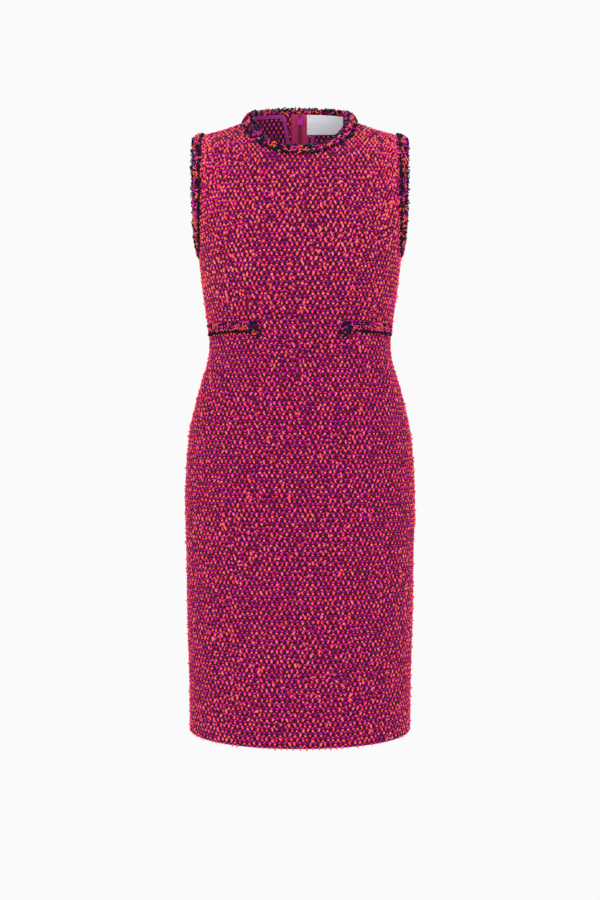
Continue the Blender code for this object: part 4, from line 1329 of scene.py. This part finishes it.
def allowance_spots(side):
    """Loose coral yarn between the binding and the zip's tape."""
    along = np.arange(along_at_back(ZIP_END_HEIGHT), NECK - 0.006, ALLOWANCE_PITCH)
    along = along + rng.normal(0, 0.001, len(along))
    out = rng.normal(ALLOWANCE_OUT, 0.0005, len(along))
    place = back_point(out, along, WALL + 0.0005, side)
    up, across, away = axes_at(side * (STRAIGHT - angle_at(out, along)), along)
    long_way, cross_way = leaned(up, across, rng.normal(0, 0.5, len(along)))
    sizes = np.array(ALLOWANCE_HALF) * rng.uniform(0.7, 1.2, (len(along), 1))
    tone = rng.uniform(0.25, 0.6, len(along))
    return spots_at(place, long_way, cross_way, away, sizes, tone, bow=0.8)


def refinish(node, finish, bevel=0.0):
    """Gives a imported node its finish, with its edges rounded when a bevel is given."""
    node.data.materials.clear()
    node.data.materials.append(finish)
    weld = node.modifiers.new("weld", "WELD")
    weld.merge_threshold = 0.00001
    if bevel:
        rounding = node.modifiers.new("rounding", "BEVEL")
        rounding.width = bevel
        rounding.segments = 2
        rounding.limit_method = "ANGLE"
    return node


def make_inside(nodes):
    tape = ribbed("zip_tape", TAPE_PINK, 0.66, 0.0032, 0, 0.75)
    label = ribbed("woven_label", SILVER, 0.86, 0.0008, 2, 0.6, 0.4)
    enamel = enamel_material()
    for word in ("left", "right"):
        refinish(nodes[f"zip_tape_{word}"], tape)
    stitches = scatter("label_stitches", pod(2, 4), stitch_spots(), weft_material())
    worn(stitches, "label")
    refinish(nodes["label"], label)
    teeth = scatter("zip_teeth", pod(3, 6), tooth_spots(), tooth_material())
    worn(teeth, "zip_teeth", "zip_coil")
    refinish(nodes["zip_slider"], enamel, 0.0006)
    refinish(nodes["zip_pull"], enamel, 0.0003)


# ---- stage


def make_stage():
    world = bpy.data.worlds.new("studio")
    world.use_nodes = True
    world.node_tree.nodes["Background"].inputs[0].default_value = (1, 1, 1, 1)
    world.node_tree.nodes["Background"].inputs[1].default_value = BRIGHTNESS
    bpy.context.scene.world = world
    bpy.context.scene.view_settings.view_transform = "Standard"

    backdrop = bpy.data.materials.new("backdrop")
    backdrop.use_nodes = True
    shader = backdrop.node_tree.nodes["Principled BSDF"]
    shader.inputs["Base Color"].default_value = (0, 0, 0, 1)
    shader.inputs["Specular IOR Level"].default_value = 0.0
    shader.inputs["Emission Color"].default_value = (1, 1, 1, 1)
    shader.inputs["Emission Strength"].default_value = BRIGHTNESS
    wide, bend = BACKDROP_HALF_WIDTH, BACKDROP_FAR - CURVE_RADIUS
    profile = [(BACKDROP_NEAR, FLOOR_HEIGHT)]
    for turn in np.linspace(0, QUARTER, CURVE_STEPS + 1):
        rise = CURVE_RADIUS * (1 - math.cos(turn))
        profile.append((bend + CURVE_RADIUS * math.sin(turn), FLOOR_HEIGHT + rise))
    profile.append((BACKDROP_FAR, BACKDROP_TOP))
    points = np.array([[(-wide, y, z), (wide, y, z)] for y, z in profile]).reshape(-1, 3)
    add_mesh("backdrop", points, [grid_faces(len(profile), 2)], backdrop, {})

    for name, place, size, power in LIGHTS:
        light = bpy.data.lights.new(name, "AREA")
        light.shape = "RECTANGLE"
        light.size, light.size_y = size
        light.energy = power
        holder = bpy.data.objects.new(name, light)
        holder.location = place
        toward = Vector(LIT_PLACE) - Vector(place)
        holder.rotation_euler = toward.to_track_quat("-Z", "Y").to_euler()
        bpy.context.scene.collection.objects.link(holder)


def make_camera():
    camera = bpy.data.cameras.new("camera")
    camera.lens = LENS
    camera.sensor_width = 36.0
    holder = bpy.data.objects.new("camera", camera)
    holder.location = (0, -CAMERA_DISTANCE, CAMERA_HEIGHT)
    holder.rotation_euler = (QUARTER, 0, 0)
    bpy.context.scene.collection.objects.link(holder)
    bpy.context.scene.camera = holder


def main():
    for each in list(bpy.data.objects):
        bpy.data.objects.remove(each)
    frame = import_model()
    make_camera()
    make_stage()
    make_cloth(frame["nodes"])
    make_braids()
    make_inside(frame["nodes"])


main()
